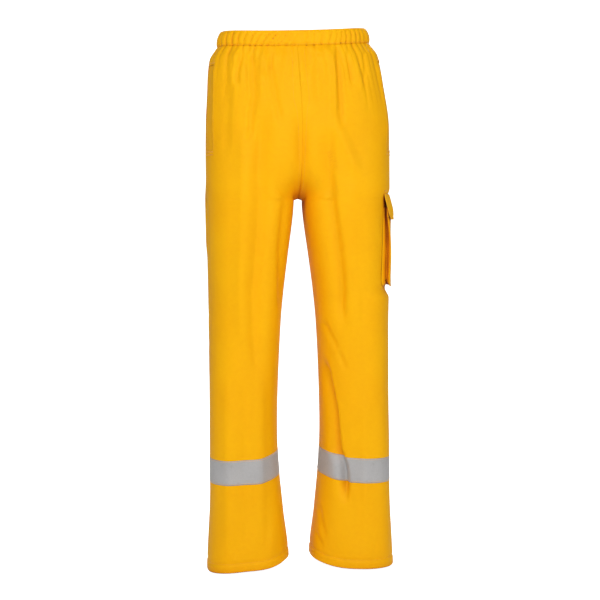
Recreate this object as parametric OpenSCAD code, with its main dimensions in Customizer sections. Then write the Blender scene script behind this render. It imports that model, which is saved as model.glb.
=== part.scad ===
// Waterproof work trousers: four panels, an elastic waist, a bellows cargo pocket on the wearer's
// left thigh and a reflective band round each shin. Millimetres. The origin is the middle of the
// waist opening at its top edge, +X is the wearer's left, +Y the back, +Z up.

/* [Trousers] */
// Length from the waist's top edge to the hem, along the outer side
outer_length = 1100; // [1020:5:1180]
// Half of the width across the waist opening
waist_half_w = 150; // [135:1:160]
// Half of the width across the hips
hip_half_w = 188; // [178:1:200]
// Half of the width across both legs at the knees
knee_half_w = 185; // [176:1:196]
// Half of the width across both hems
hem_half_w = 192; // [184:1:204]
// Depth of the crotch below the waist's top edge
crotch_drop = 350; // [330:5:375]
// Half of the gap between the legs at its widest, below the knees
leg_gap_half = 44; // [36:1:50]
// Half of the gap between the legs at the hems
hem_gap_half = 23; // [14:1:30]
// Depth of the trousers from the middle to the front, at the hips
front_depth = 122; // [110:1:135]
// Depth of the trousers from the middle to the back, at the hips
back_depth = 134; // [120:1:145]
// How much further forward the outer side of a lower leg hangs, per unit of width
leg_skew = 0.15; // [0:0.01:0.3]
// How much the cloth is hitched up along the inseam of a lower leg
inseam_lift = 12; // [0:1:20]
// Thickness of the coated fabric
cloth_t = 0.8; // [0.6:0.1:1]

/* [Waistband] */
// Height of the waistband
band_h = 30; // [26:1:40]
// How far the middle of the front dips below the sides
front_dip = 15; // [0:1:25]
// How far the middle of the back rises above the sides
back_rise = 5; // [0:1:15]
// Width of the elastic
elastic_w = 24; // [18:1:24]
// Thickness of the elastic
elastic_t = 1.5; // [1:0.1:1.6]

/* [Hems and bands] */
// Depth of the turned-up hem
hem_h = 18; // [12:1:24]
// Height of the reflective band
band_tape_h = 50; // [40:1:60]
// Height of the reflective band's lower edge above the hem
band_tape_up = 175; // [150:5:220]
// Thickness of the reflective band
band_tape_t = 0.4; // [0.3:0.1:0.5]

/* [Side pockets] */
// Depth of the pocket mouth's top end below the waist's top edge
mouth_top = 69; // [60:1:80]
// Length of the pocket mouth
mouth_length = 187; // [165:1:190]
// Length of the pocket bag below the mouth's bottom end
bag_below = 34; // [20:1:40]

/* [Cargo pocket] */
// Width of the cargo pocket
cargo_w = 152; // [130:2:156]
// Depth of the cargo pocket's mouth below the waist's top edge
cargo_mouth = 365; // [363:1:372]
// Height of the cargo pocket, mouth to bottom
cargo_h = 161; // [140:1:165]
// Distance from the trousers' middle plane to the outer face of the cargo pocket
cargo_x = 191; // [190:0.5:194]
// Radius that the cargo pocket's outer panel bends round
cargo_r = 270; // [230:5:320]
// How far the bellows pleat is folded in between its two edges
pleat_depth = 13; // [8:1:15]
// Width of the flap
flap_w = 162; // [140:2:166]
// Depth of the flap's top seam below the waist's top edge
flap_seam = 338; // [334:1:340]
// Height of the flap
flap_h = 52; // [48:1:56]
// Thickness of each of the flap's two layers
flap_layer_t = 0.7; // [0.5:0.1:0.8]

/* [Hidden] */

// Colours of the fabric, its shaded inside, the reflective band, the tapes and the thread
fabric = "#FDB515";
lining = "#F2A40C";
reflective = "#A9A9AB";
seam_tape = "#E8D9B0";
elastic_white = "#E6E4DD";
thread = "#F6A60B";

RIGHT = -1;
LEFT = 1;
FRONT = 1;
BACK = -1;

// Heights on the trousers, all below the origin
crotch_z = -crotch_drop;
hem_top_z = hem_h - outer_length;
tape_low_z = band_tape_up - outer_length;
tape_top_z = tape_low_z + band_tape_h;
mouth_top_z = -mouth_top;
mouth_low_z = mouth_top_z - mouth_length;
seam_split_z = -60;
cargo_top_z = -cargo_mouth;
cargo_low_z = cargo_top_z - cargo_h;
flap_top_z = -flap_seam;
flap_low_z = flap_top_z - flap_h;

// Cells round one half of a leg, from the outseam to the inseam, and the column of the pocket mouth
cells = 12;
mouth_cell = 3;

// Roundness of the cloth's outline: 1 is an ellipse, less is squarer
roundness = 0.9;
flat_side = 0.68;
// How quickly the centre seam turns in towards the crotch
seat_power = 2.4;
// How far the cargo pocket presses the left leg in
cargo_press = 8;

// Air gaps between two layers of cloth, and across a pair that moves
layer_gap = 0.1;
moving_gap = 0.5;
thread_w = 0.8;
thread_t = 0.3;

// Half width of the trousers, at heights below the waist
half_widths = [
    [0, waist_half_w], [-16, waist_half_w + 9], [-30, waist_half_w + 10],
    [-56, (waist_half_w + hip_half_w) / 2 + 1], [-125, hip_half_w - 5], [-190, hip_half_w],
    [-350, hip_half_w], [-600, knee_half_w], [-850, knee_half_w], [-970, knee_half_w + 1],
    [-1100, hem_half_w]
];
// Half gap between the legs
half_gaps = [
    [-350, 6], [-390, 12.5], [-460, leg_gap_half / 2], [-530, 0.7 * leg_gap_half],
    [-600, 0.85 * leg_gap_half], [-760, leg_gap_half], [-880, leg_gap_half],
    [-1000, (leg_gap_half + hem_gap_half) / 2], [-1100, hem_gap_half]
];
// Depth in front of the middle plane, and behind it
front_depths = [
    [0, front_depth - 12], [-100, front_depth - 2], [-200, front_depth], [-350, front_depth - 8],
    [-560, front_depth - 24], [-850, front_depth - 37], [-960, front_depth - 37],
    [-1100, front_depth - 30]
];
back_depths = [
    [0, back_depth - 33], [-100, back_depth - 15], [-200, back_depth], [-350, back_depth - 15],
    [-560, back_depth - 44], [-850, back_depth - 47], [-1100, back_depth - 40]
];

// ---- Shape of the cloth ------------------------------------------------------------------------

function clamped(q) = min(1, max(0, q));
function ease(q) = let(c = clamped(q)) c * c * (3 - 2 * c);
function mixed(a, b, q) = a + (b - a) * q;
function steps(a, b, n) = [for (k = [0 : n - 1]) mixed(a, b, k / n)];

// A smooth curve through [height, value] stations, which run downwards
function station(t, z, i = 0) = i >= len(t) - 2 || z >= t[i + 1][0] ? i : station(t, z, i + 1);
function slope_at(t, i) =
    i == 0 || i == len(t) - 1 ? 0 : (t[i + 1][1] - t[i - 1][1]) / (t[i + 1][0] - t[i - 1][0]);
function curve(t, z) =
    let(
        i = station(t, z),
        step = t[i + 1][0] - t[i][0],
        q = clamped((z - t[i][0]) / step),
        start = slope_at(t, i) * step,
        finish = slope_at(t, i + 1) * step
    )
    mixed(t[i][1], t[i + 1][1], ease(q)) + q * (1 - q) * ((1 - q) * start - q * finish);
// The tables are for trousers 1100 long and stretch with the length
function along(t, z) = curve(t, z * 1100 / outer_length);

// 1 where the cargo pocket presses on the left leg, fading to 0 above and below it
function pressed(side, z) =
    side == LEFT ? ease((flap_top_z + 12 - z) / 26) * ease((z - cargo_low_z + 40) / 40) : 0;
// 0 in the thigh and 1 in the lower leg
function lower_leg(z) = ease((-z - 0.52 * outer_length) / (0.26 * outer_length));
function half_width(side, z) = along(half_widths, z) - cargo_press * pressed(side, z);
function half_gap(z) = along(half_gaps, z) * sqrt(clamped((crotch_z - z) / 25));

// One half's outline at height z: [middle x, half width, share of the seat, last angle, side roundness]
function outline(side, z) =
    let(
        w = half_width(side, z),
        g = half_gap(z),
        seat = pow(clamped((seam_split_z - z) / (seam_split_z - crotch_z)), seat_power)
    )
    z > crotch_z
        ? [w * seat / (1 + seat), w / (1 + seat), acos(-pow(seat, 1 / roundness))]
        : [(w + g) / 2, (w - g) / 2, 180];

// How far the cloth is raised or lowered from its level height
function raised(face, v, z) =
    let(dip = face == FRONT ? -front_dip : back_rise)
    dip * pow(sin(90 * v), 2) * ease((z + 200) / (200 - band_h))
        + inseam_lift * lower_leg(z) * ease((v - 0.35) / 0.65);

// The point of the cloth at share v of the way from the outseam to the inner edge, n outside it
function on_curve(side, face, v, z, n) =
    let(
        o = outline(side, z),
        angle = v * o[2],
        e = angle < 90 ? roundness - (roundness - flat_side) * pressed(side, z) : roundness,
        depth = along(face == FRONT ? front_depths : back_depths, z),
        c = sign(cos(angle)) * pow(abs(cos(angle)), e),
        s = pow(max(0, sin(angle)), e),
        k = leg_skew * lower_leg(z),
        ny = -face * pow(max(0, sin(angle)), 2 - e) / depth,
        nx = sign(cos(angle)) * pow(abs(cos(angle)), 2 - e) / o[1] + k * ny,
        at_centre = v >= 0.999 && z > crotch_z + 0.01,
        out = at_centre ? [0, -face] : [nx, ny] / norm([nx, ny]),
        x = at_centre ? 0 : o[0] + o[1] * c
    )
    [side * (x + n * out[0]), -face * depth * s - k * o[1] * c + n * out[1], z + raised(face, v, z)];

// The same, on the flat cells that the panels are made of
function on_cloth(side, face, v, z, n = 0) =
    let(j = min(cells - 1, floor(v * cells + 0.0001)), q = v * cells - j)
    q < 0.001
        ? on_curve(side, face, j / cells, z, n)
        : mixed(on_curve(side, face, j / cells, z, n), on_curve(side, face, (j + 1) / cells, z, n), q);

// ---- Thin solids -------------------------------------------------------------------------------

// A closed solid between two matching grids of points. skip(i, j) leaves cell i, j open.
module sheet(outer, inner, wraps = false, turned = false, skip = function(i, j) false) {
    rows = len(outer);
    cols = len(outer[0]);
    across = wraps ? cols : cols - 1;
    at = function(i, j, layer) (layer * rows + i) * cols + j % cols;
    held = function(i, j)
        let(jj = wraps ? (j + across) % across : j)
        i >= 0 && i < rows - 1 && jj >= 0 && jj < across && !skip(i, jj);
    quads = [
        for (i = [0 : rows - 2], j = [0 : across - 1]) if (held(i, j))
            let(
                a = at(i, j, 0), b = at(i, j + 1, 0), c = at(i + 1, j + 1, 0), d = at(i + 1, j, 0),
                a1 = at(i, j, 1), b1 = at(i, j + 1, 1), c1 = at(i + 1, j + 1, 1), d1 = at(i + 1, j, 1)
            )
            each [
                [a, b, c, d],
                [a1, d1, c1, b1],
                if (!held(i - 1, j)) [b, a, a1, b1],
                if (!held(i, j + 1)) [c, b, b1, c1],
                if (!held(i + 1, j)) [d, c, c1, d1],
                if (!held(i, j - 1)) [a, d, d1, a1]
            ]
    ];
    halves = [for (q = quads) each [[q[0], q[1], q[2]], [q[0], q[2], q[3]]]];
    faces = turned ? [for (f = halves) [f[2], f[1], f[0]]] : halves;
    points = [for (grid = [outer, inner], row = grid) each row];
    polyhedron(points, faces, convexity = 10);
}

// A layer of cloth over columns [side, face, v] and rows [height, outer offset, inner offset]
module layer(columns, rows, wraps = false, turned = false, skip = function(i, j) false) {
    outer = [for (r = rows) [for (c = columns) on_cloth(c[0], c[1], c[2], r[0], r[1])]];
    inner = [for (r = rows) [for (c = columns) on_cloth(c[0], c[1], c[2], r[0], r[2])]];
    sheet(outer, inner, wraps, turned, skip);
}

// A layer that folds: each row is a pair of [offset, height] points
module folded(columns, pairs, wraps = false, turned = false, skip = function(i, j) false) {
    outer = [for (p = pairs) [for (c = columns) on_cloth(c[0], c[1], c[2], p[0][1], p[0][0])]];
    inner = [for (p = pairs) [for (c = columns) on_cloth(c[0], c[1], c[2], p[1][1], p[1][0])]];
    sheet(outer, inner, wraps, turned, skip);
}

// Columns from the outseam to the inner edge of one panel, all round a leg and all round the waist
function panel_columns(side, face) = [for (j = [0 : cells]) [side, face, j / cells]];
function leg_columns(side) = [
    for (j = [0 : cells]) [side, FRONT, j / cells],
    for (j = [cells - 1 : -1 : 1]) [side, BACK, j / cells]
];
waist_columns = [
    for (j = [0 : cells]) [LEFT, FRONT, j / cells],
    for (j = [cells - 1 : -1 : 0]) [RIGHT, FRONT, j / cells],
    for (j = [1 : cells]) [RIGHT, BACK, j / cells],
    for (j = [cells - 1 : -1 : 1]) [LEFT, BACK, j / cells]
];

// Heights of the panels' rows
upper_rows = concat(
    steps(-band_h, mouth_top_z + 11, 2), [mouth_top_z + 11], steps(mouth_top_z, mouth_low_z, 6),
    [mouth_low_z, mouth_low_z - 12]
);
seat_rows = concat(steps(mouth_low_z - 34, crotch_z + 6, 4), [crotch_z + 6, crotch_z]);
leg_rows = concat(
    [crotch_z - 6, crotch_z - 20], steps(crotch_z - 44, -0.53 * outer_length, 4),
    steps(-0.53 * outer_length, tape_top_z, 4), [tape_top_z, tape_low_z],
    steps(tape_low_z - 45, hem_top_z, 2), [hem_top_z]
);
fold_z = 1.8 - outer_length;
open_rows = concat([mouth_top_z + 11], steps(mouth_top_z, mouth_low_z, 6), [mouth_low_z, mouth_low_z - 12]);

// Rows of a plain layer at the given heights
function plain(heights, outside, inside) = [for (z = heights) [z, outside, inside]];
function flat_pairs(heights, outside, inside) = [for (z = heights) [[outside, z], [inside, z]]];

// ---- Shell -------------------------------------------------------------------------------------

// One leg panel. Its bottom is turned up inside as the hem, and a front panel is cut away behind
// the pocket mouth.
module panel(side, face) {
    heights = concat(upper_rows, seat_rows, leg_rows);
    ply = -cloth_t - layer_gap;
    pairs = concat(
        flat_pairs(concat(heights, [fold_z]), 0, -cloth_t),
        [
            [[ply + layer_gap / 2, -outer_length], [ply + layer_gap / 2, fold_z - 0.8]],
            [[2 * ply, fold_z], [ply, fold_z]],
            [[2 * ply, hem_top_z - 2], [ply, hem_top_z - 2]]
        ]
    );
    cut = function(i, j) face == FRONT && j < mouth_cell
        && pairs[i][0][1] < mouth_top_z + 1 && pairs[i][0][1] > mouth_low_z + 1;
    color(fabric) folded(panel_columns(side, face), pairs, turned = side * face > 0, skip = cut);
}

module right_front_panel() {
    panel(RIGHT, FRONT);
}

module left_front_panel() {
    panel(LEFT, FRONT);
}

module right_back_panel() {
    panel(RIGHT, BACK);
}

module left_back_panel() {
    panel(LEFT, BACK);
}

// ---- Waistband ---------------------------------------------------------------------------------

// The tunnel's inner layer stands this far inside its outer face
tunnel = 5;

module waistband_casing() {
    inside = -tunnel;
    pairs = [
        [[0, -band_h], [-cloth_t, -band_h]],
        [[0, -band_h / 2], [-cloth_t, -band_h / 2]],
        [[0, -2.5], [-cloth_t, -2.5]],
        [[-tunnel / 4, -0.5], [-tunnel / 4 - 0.4, -1.2]],
        [[-tunnel / 2, 0], [-tunnel / 2, -cloth_t]],
        [[-tunnel * 3 / 4, -0.5], [-tunnel * 3 / 4 + 0.4, -1.2]],
        [[inside, -2.5], [inside + cloth_t, -2.5]],
        [[inside, -band_h / 2], [inside + cloth_t, -band_h / 2]],
        [[inside, -band_h], [inside + cloth_t, -band_h]]
    ];
    color(fabric) folded(waist_columns, pairs, wraps = true);
}

module waist_elastic() {
    outside = -tunnel / 2 + elastic_t / 2;
    top = -band_h / 2 + elastic_w / 2;
    heights = [top, -band_h / 2, top - elastic_w];
    color(elastic_white)
        layer(waist_columns, plain(heights, outside, outside - elastic_t), wraps = true, turned = true);
}

// A row of stitches that runs round the cloth at one height
module stitched_round(columns, z, n) {
    heights = [z + thread_w / 2, z - thread_w / 2];
    color(thread)
        layer(columns, plain(heights, n + thread_t, n), wraps = true, turned = columns[0][0] == LEFT);
}

module waistband_stitching() {
    stitched_round(waist_columns, 2 - band_h, 4 * layer_gap);
}

// ---- Seams -------------------------------------------------------------------------------------

// Width of a seam tape to one side of its seam, as a share of a half leg's way round
tape_share = 0.045;
// The next layer inside the panels, and the seam tapes a little further in
inner_face = -cloth_t - layer_gap;
tape_n = inner_face - 3 * layer_gap;
// The centre tape bridges the two halves, so it stands off their flat cells
centre_tape_n = tape_n - 12 * layer_gap;

function seam_columns(side, v, share) =
    [[side, FRONT, abs(v - share)], [side, FRONT, v], [side, BACK, abs(v - share)]];
function centre_columns(face, share) =
    [[LEFT, face, 1 - share], [LEFT, face, 1], [RIGHT, face, 1 - share]];

// The outseam's tape passes inside the pocket facing
module outseam_tape(side) {
    heights = concat(upper_rows, seat_rows, leg_rows);
    behind = function(z) tape_n + (z < mouth_top_z + 30 && z > mouth_low_z - 30 ? inner_face : 0);
    rows = [for (z = heights) if (z > hem_top_z + 1) [z, behind(z), behind(z) - thread_t]];
    color(seam_tape) layer(seam_columns(side, 0, tape_share), rows, turned = side == RIGHT);
}

module inseam_tape(side) {
    rows = plain([for (z = leg_rows) if (z > hem_top_z + 1) z], tape_n, tape_n - thread_t);
    color(seam_tape) layer(seam_columns(side, 1, tape_share), rows, turned = side > 0);
}

module centre_seam_tape() {
    heights = concat(upper_rows, [for (z = seat_rows) if (z > crotch_z + 12) z]);
    rows = plain(heights, centre_tape_n, centre_tape_n - thread_t);
    color(seam_tape) {
        layer(centre_columns(FRONT, tape_share), rows, turned = true);
        layer(centre_columns(BACK, tape_share), rows);
    }
}

module right_inseam_tape() {
    inseam_tape(RIGHT);
}

module left_inseam_tape() {
    inseam_tape(LEFT);
}

module right_outseam_tape() {
    outseam_tape(RIGHT);
}

module left_outseam_tape() {
    outseam_tape(LEFT);
}

// A row of stitches down the cloth, at share v of the way round
module stitched_down(side, face, v, heights, n = layer_gap / 2, share = 0.0035) {
    columns = [[side, face, v], [side, face, v + share]];
    color(thread) layer(columns, plain(heights, n + thread_t, n), turned = side * face > 0);
}

module centre_topstitching() {
    heights = concat(upper_rows, [for (z = seat_rows) if (z > crotch_z + 12) z]);
    for (side = [RIGHT, LEFT], face = [FRONT, BACK]) stitched_down(side, face, 0.975, heights);
}

module hem_stitching() {
    for (side = [RIGHT, LEFT]) stitched_round(leg_columns(side), hem_top_z, layer_gap / 2);
}

// ---- Reflective bands --------------------------------------------------------------------------

// One strip round the leg, with both ends caught in the inseam
module reflective_tape(side) {
    columns = [
        for (j = [cells : -1 : 0]) [side, BACK, j == cells ? 0.998 : j / cells],
        for (j = [1 : cells]) [side, FRONT, j == cells ? 0.998 : j / cells]
    ];
    n = layer_gap / 2;
    color(reflective)
        layer(columns, plain([tape_top_z, tape_low_z], n + band_tape_t, n), turned = side > 0);
}

module right_reflective_tape() {
    reflective_tape(RIGHT);
}

module left_reflective_tape() {
    reflective_tape(LEFT);
}

module tape_stitching() {
    edge = 2.5;
    n = band_tape_t + 3 * layer_gap;
    for (side = [RIGHT, LEFT], z = [tape_top_z - edge, tape_low_z + edge])
        stitched_round(leg_columns(side), z, n);
}

// ---- Side pockets ------------------------------------------------------------------------------

mouth_v = mouth_cell / cells;

// The strip behind the mouth, sewn to the back panel at the outseam and under the front panel
module pocket_facing(side) {
    columns = [
        [side, BACK, tape_share], [side, BACK, 0],
        for (j = [1 : mouth_cell]) [side, FRONT, j / cells],
        [side, FRONT, mouth_v + tape_share]
    ];
    color(fabric) layer(columns, plain(open_rows, inner_face, inner_face - cloth_t), turned = side > 0);
}

module right_pocket_facing() {
    pocket_facing(RIGHT);
}

module left_pocket_facing() {
    pocket_facing(LEFT);
}

// The flat bag: one layer runs forward from the mouth, folds and comes back behind itself
module pocket_bag(side) {
    bag_t = 0.4;
    front_n = 2 * inner_face - layer_gap;
    back_n = front_n - 3 * bag_t;
    middle_n = (front_n + back_n) / 2;
    far_v = 0.7;
    stops = [mouth_v + 0.01, for (j = [mouth_cell + 1 : 8]) j / cells, far_v];
    last = len(stops) - 1;
    bottom_z = mouth_low_z - bag_below;
    heights = concat([for (z = upper_rows) if (z < mouth_top_z + 12) z], [bottom_z]);
    // The bag's own outside and its hollow side, forward and then back
    outside = concat(
        [for (k = [0 : last]) [stops[k], front_n]], [[far_v + 0.01, middle_n]],
        [for (k = [last : -1 : 0]) [stops[k], back_n]]
    );
    hollow = concat(
        [for (k = [0 : last]) [stops[k], front_n - bag_t]], [[far_v + 0.004, middle_n]],
        [for (k = [last : -1 : 0]) [stops[k], back_n + bag_t]]
    );
    outer = [for (z = heights) [for (p = outside) on_cloth(side, FRONT, p[0], z, p[1])]];
    inner = [for (z = heights) [for (p = hollow) on_cloth(side, FRONT, p[0], z, p[1])]];
    color(lining) sheet(outer, inner, turned = side > 0);
}

module right_pocket_bag() {
    pocket_bag(RIGHT);
}

module left_pocket_bag() {
    pocket_bag(LEFT);
}

module side_pocket_stitching() {
    heights = concat(steps(mouth_top_z, mouth_low_z, 6), [mouth_low_z]);
    for (side = [RIGHT, LEFT]) stitched_down(side, FRONT, mouth_v + 0.026, heights);
}

// A dense bar of thread on the cloth, from share v0 to v1 of the way round
module bartack(side, face, v0, v1, z, n) {
    columns = [
        [side, face, v0], for (j = [1 : cells]) if (j / cells > v0 && j / cells < v1) [side, face, j / cells],
        [side, face, v1]
    ];
    color(thread)
        layer(columns, plain([z + 1, z - 1], n + 2 * thread_t, n), turned = side * face > 0);
}

module side_pocket_bartacks() {
    for (side = [RIGHT, LEFT], z = [mouth_top_z + 4, mouth_low_z - 4, mouth_low_z - 10])
        bartack(side, FRONT, 0.02, mouth_v + 0.01, z, layer_gap / 2);
}

// ---- Cargo pocket ------------------------------------------------------------------------------

// Where the left leg's outer side is, at depth y and height z
function leg_x(y, z) =
    let(
        o = outline(LEFT, z),
        e = roundness - (roundness - flat_side) * pressed(LEFT, z),
        depth = along(y < 0 ? front_depths : back_depths, z)
    )
    o[0] + o[1] * pow(1 - pow(abs(y) / depth, 2 / e), e / 2);

// The outer face of the pocket's outer panel
function cargo_face(y) = cargo_x - cargo_r + sqrt(cargo_r * cargo_r - y * y);

// The panel's columns across its width
cargo_ys = [for (j = [0 : 12]) mixed(-cargo_w / 2, cargo_w / 2, j / 12)];

module cargo_pocket_front() {
    hem = 20;
    inside = -cloth_t - layer_gap;
    pairs = [
        [[0, cargo_low_z], [-cloth_t, cargo_low_z]],
        [[0, cargo_low_z + cargo_h / 3], [-cloth_t, cargo_low_z + cargo_h / 3]],
        [[0, cargo_low_z + cargo_h * 2 / 3], [-cloth_t, cargo_low_z + cargo_h * 2 / 3]],
        [[0, cargo_top_z - 1.5], [-cloth_t, cargo_top_z - 1.5]],
        [[inside + layer_gap / 2, cargo_top_z], [inside + layer_gap / 2, cargo_top_z - 0.9]],
        [[2 * inside, cargo_top_z - 1.5], [inside, cargo_top_z - 1.5]],
        [[2 * inside, cargo_top_z - hem], [inside, cargo_top_z - hem]]
    ];
    outer = [for (p = pairs) [for (y = cargo_ys) [cargo_face(y) + p[0][0], y, p[0][1]]]];
    inner = [for (p = pairs) [for (y = cargo_ys) [cargo_face(y) + p[1][0], y, p[1][1]]]];
    color(fabric) sheet(outer, inner, turned = true);
}

// The bellows runs down the front edge, along the bottom and up the back edge. Each stop on its
// way is [y, z, inward y, inward z].
corner_cut = 9;
half_w = cargo_w / 2;
side_stops = concat(steps(cargo_top_z, cargo_low_z + corner_cut, 6), [cargo_low_z + corner_cut]);
gusset_stops = concat(
    [for (z = side_stops) [-half_w, z, 1, 0]],
    [for (y = concat(steps(corner_cut - half_w, half_w - corner_cut, 8), [half_w - corner_cut])) [y, cargo_low_z, 0, 1]],
    [for (k = [len(side_stops) - 1 : -1 : 0]) [half_w, side_stops[k], -1, 0]]
);

module cargo_pocket_gusset() {
    thick = 1.2;
    // Across the strip: [share of the way out, how far it is folded in]
    fold = [[0, 0], [0.5, pleat_depth], [1, 0]];
    edge = function(stop, across, more)
        let(
            y = stop[0] + stop[2] * (across[1] + more),
            z = stop[1] + stop[3] * (across[1] + more),
            near = leg_x(y, z) + moving_gap + layer_gap,
            far = cargo_face(y) - 2 * (cloth_t + layer_gap) - moving_gap
        )
        [mixed(near, far, across[0]), y, z];
    outer = [for (a = fold) [for (s = gusset_stops) edge(s, a, 0)]];
    inner = [for (a = fold) [for (s = gusset_stops) edge(s, a, thick)]];
    color(fabric) sheet(outer, inner, turned = true);
}

// Stitches on the outer panel, a little inside its two sides and its bottom
module cargo_pocket_stitching() {
    edge = 5;
    low = cargo_low_z + edge;
    reach = half_w - edge;
    way = concat(
        [for (z = steps(cargo_top_z - 4, low, 3)) [-reach, z]],
        [for (y = steps(-reach, reach, 12)) [y, low]],
        [for (k = [3 : -1 : 0]) [reach, mixed(cargo_top_z - 4, low, k / 3)]]
    );
    // Half the thread's width across the way, measured in the panel
    side_of = function(k) way[k][1] > low + 0.1 ? [sign(way[k][0]), 0]
        : abs(way[k][0]) > reach - 0.1 ? [sign(way[k][0]), -1] : [0, -1];
    point = function(k, w, n)
        let(y = way[k][0] + w * side_of(k)[0], z = way[k][1] + w * side_of(k)[1])
        [cargo_face(y) + n, y, z];
    w = thread_w / 2;
    base = 0.25;
    outer = [for (d = [-w, w]) [for (k = [0 : len(way) - 1]) point(k, d, base + thread_t)]];
    inner = [for (d = [-w, w]) [for (k = [0 : len(way) - 1]) point(k, d, base)]];
    color(thread) sheet(outer, inner);
}

// The touch fastener's two halves face each other behind the flap
fastener_w = 80;
fastener_t = 0.9;
fastener_rows = [flap_low_z + 6, flap_low_z + 20];
fastener_ys = [for (j = [0 : 6]) mixed(-fastener_w / 2, fastener_w / 2, j / 6)];

module cargo_loop_tape() {
    base = 0.1;
    outer = [for (z = fastener_rows) [for (y = fastener_ys) [cargo_face(y) + base + fastener_t, y, z]]];
    inner = [for (z = fastener_rows) [for (y = fastener_ys) [cargo_face(y) + base, y, z]]];
    color(thread) sheet(outer, inner, turned = true);
}

// ---- Cargo flap --------------------------------------------------------------------------------

// Radius of the flap's lower edge, which is flatter than the pocket
flap_low_r = 520;
flap_x = cargo_x + 3.9;
flap_half = flap_w / 2;
flap_ys = [for (j = [0 : 12]) mixed(-flap_half, flap_half, j / 12)];
// Down the flap: [drop below the seam, share of the way from the leg out to the hanging part]
flap_profile = [[0.6, 0.04], [5, 0.42], [12, 0.76], [20, 0.94], [28, 1], [40, 1], [flap_h, 1]];

// The flap's outer face, n outside it, at depth y and at a stop of its profile
function flap_point(y, stop, n) =
    let(
        root = leg_x(y, flap_top_z) + 2 * flap_layer_t + moving_gap + 0.3,
        hanging = flap_x - flap_low_r + sqrt(flap_low_r * flap_low_r - y * y)
    )
    [mixed(root, hanging, stop[1]) + n, y, flap_top_z - stop[0]];

// A layer of the flap between two offsets, over depths ys and the profile's stops
module flap_layer(ys, stops, outside, inside) {
    outer = [for (s = stops) [for (y = ys) flap_point(y, s, outside)]];
    inner = [for (s = stops) [for (y = ys) flap_point(y, s, inside)]];
    sheet(outer, inner, turned = false);
}

module cargo_flap() {
    color(fabric) flap_layer(flap_ys, flap_profile, 0, -flap_layer_t);
}

module cargo_flap_lining() {
    color(lining) flap_layer(flap_ys, flap_profile, -flap_layer_t - 0.03, -2 * flap_layer_t);
}

module cargo_hook_tape() {
    drops = [flap_h - 20, flap_h - 6];
    outside = -2 * flap_layer_t - 0.05;
    color(thread) flap_layer(fastener_ys, [for (d = drops) [d, 1]], outside, outside - fastener_t);
}

module cargo_flap_stitching() {
    edge = 6;
    base = 0.25;
    reach = flap_half - edge;
    for (y = [-reach, reach])
        color(thread)
            flap_layer([y - thread_w / 2, y + thread_w / 2],
                [for (s = flap_profile) if (s[0] < flap_h - edge) s], base + thread_t, base);
    drops = [flap_h - edge - thread_w / 2, flap_h - edge + thread_w / 2];
    ys = [for (j = [0 : 12]) mixed(-reach - 1, reach + 1, j / 12)];
    color(thread) flap_layer(ys, [for (d = drops) [d, 1]], base + thread_t, base);
}

// Bars of thread on the leg, above the flap's ends and below the pocket's corners
module cargo_bartacks() {
    tack_w = 9;
    for (y = [-flap_half, flap_half - tack_w], z = [flap_top_z + 6]) leg_tack(y, tack_w, z);
    for (y = [-half_w, half_w - tack_w], z = [cargo_low_z - 5]) leg_tack(y, tack_w, z);
}

module leg_tack(y0, w, z) {
    ys = [y0, y0 + w / 2, y0 + w];
    outer = [for (h = [z + 1, z - 1]) [for (y = ys) [leg_x(y, h) + 0.3 + 2 * thread_t, y, h]]];
    inner = [for (h = [z + 1, z - 1]) [for (y = ys) [leg_x(y, h) + 0.3, y, h]]];
    color(thread) sheet(outer, inner);
}

right_front_panel();
left_front_panel();
right_back_panel();
left_back_panel();
waistband_casing();
waist_elastic();
waistband_stitching();
centre_seam_tape();
right_inseam_tape();
left_inseam_tape();
right_outseam_tape();
left_outseam_tape();
centre_topstitching();
hem_stitching();
right_reflective_tape();
left_reflective_tape();
tape_stitching();
right_pocket_facing();
left_pocket_facing();
right_pocket_bag();
left_pocket_bag();
side_pocket_stitching();
side_pocket_bartacks();
cargo_pocket_front();
cargo_pocket_gusset();
cargo_pocket_stitching();
cargo_loop_tape();
cargo_flap();
cargo_flap_lining();
cargo_hook_tape();
cargo_flap_stitching();
cargo_bartacks();
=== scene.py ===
import bmesh
import bpy
import math
import numpy as np
from mathutils import Matrix, Vector


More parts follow.
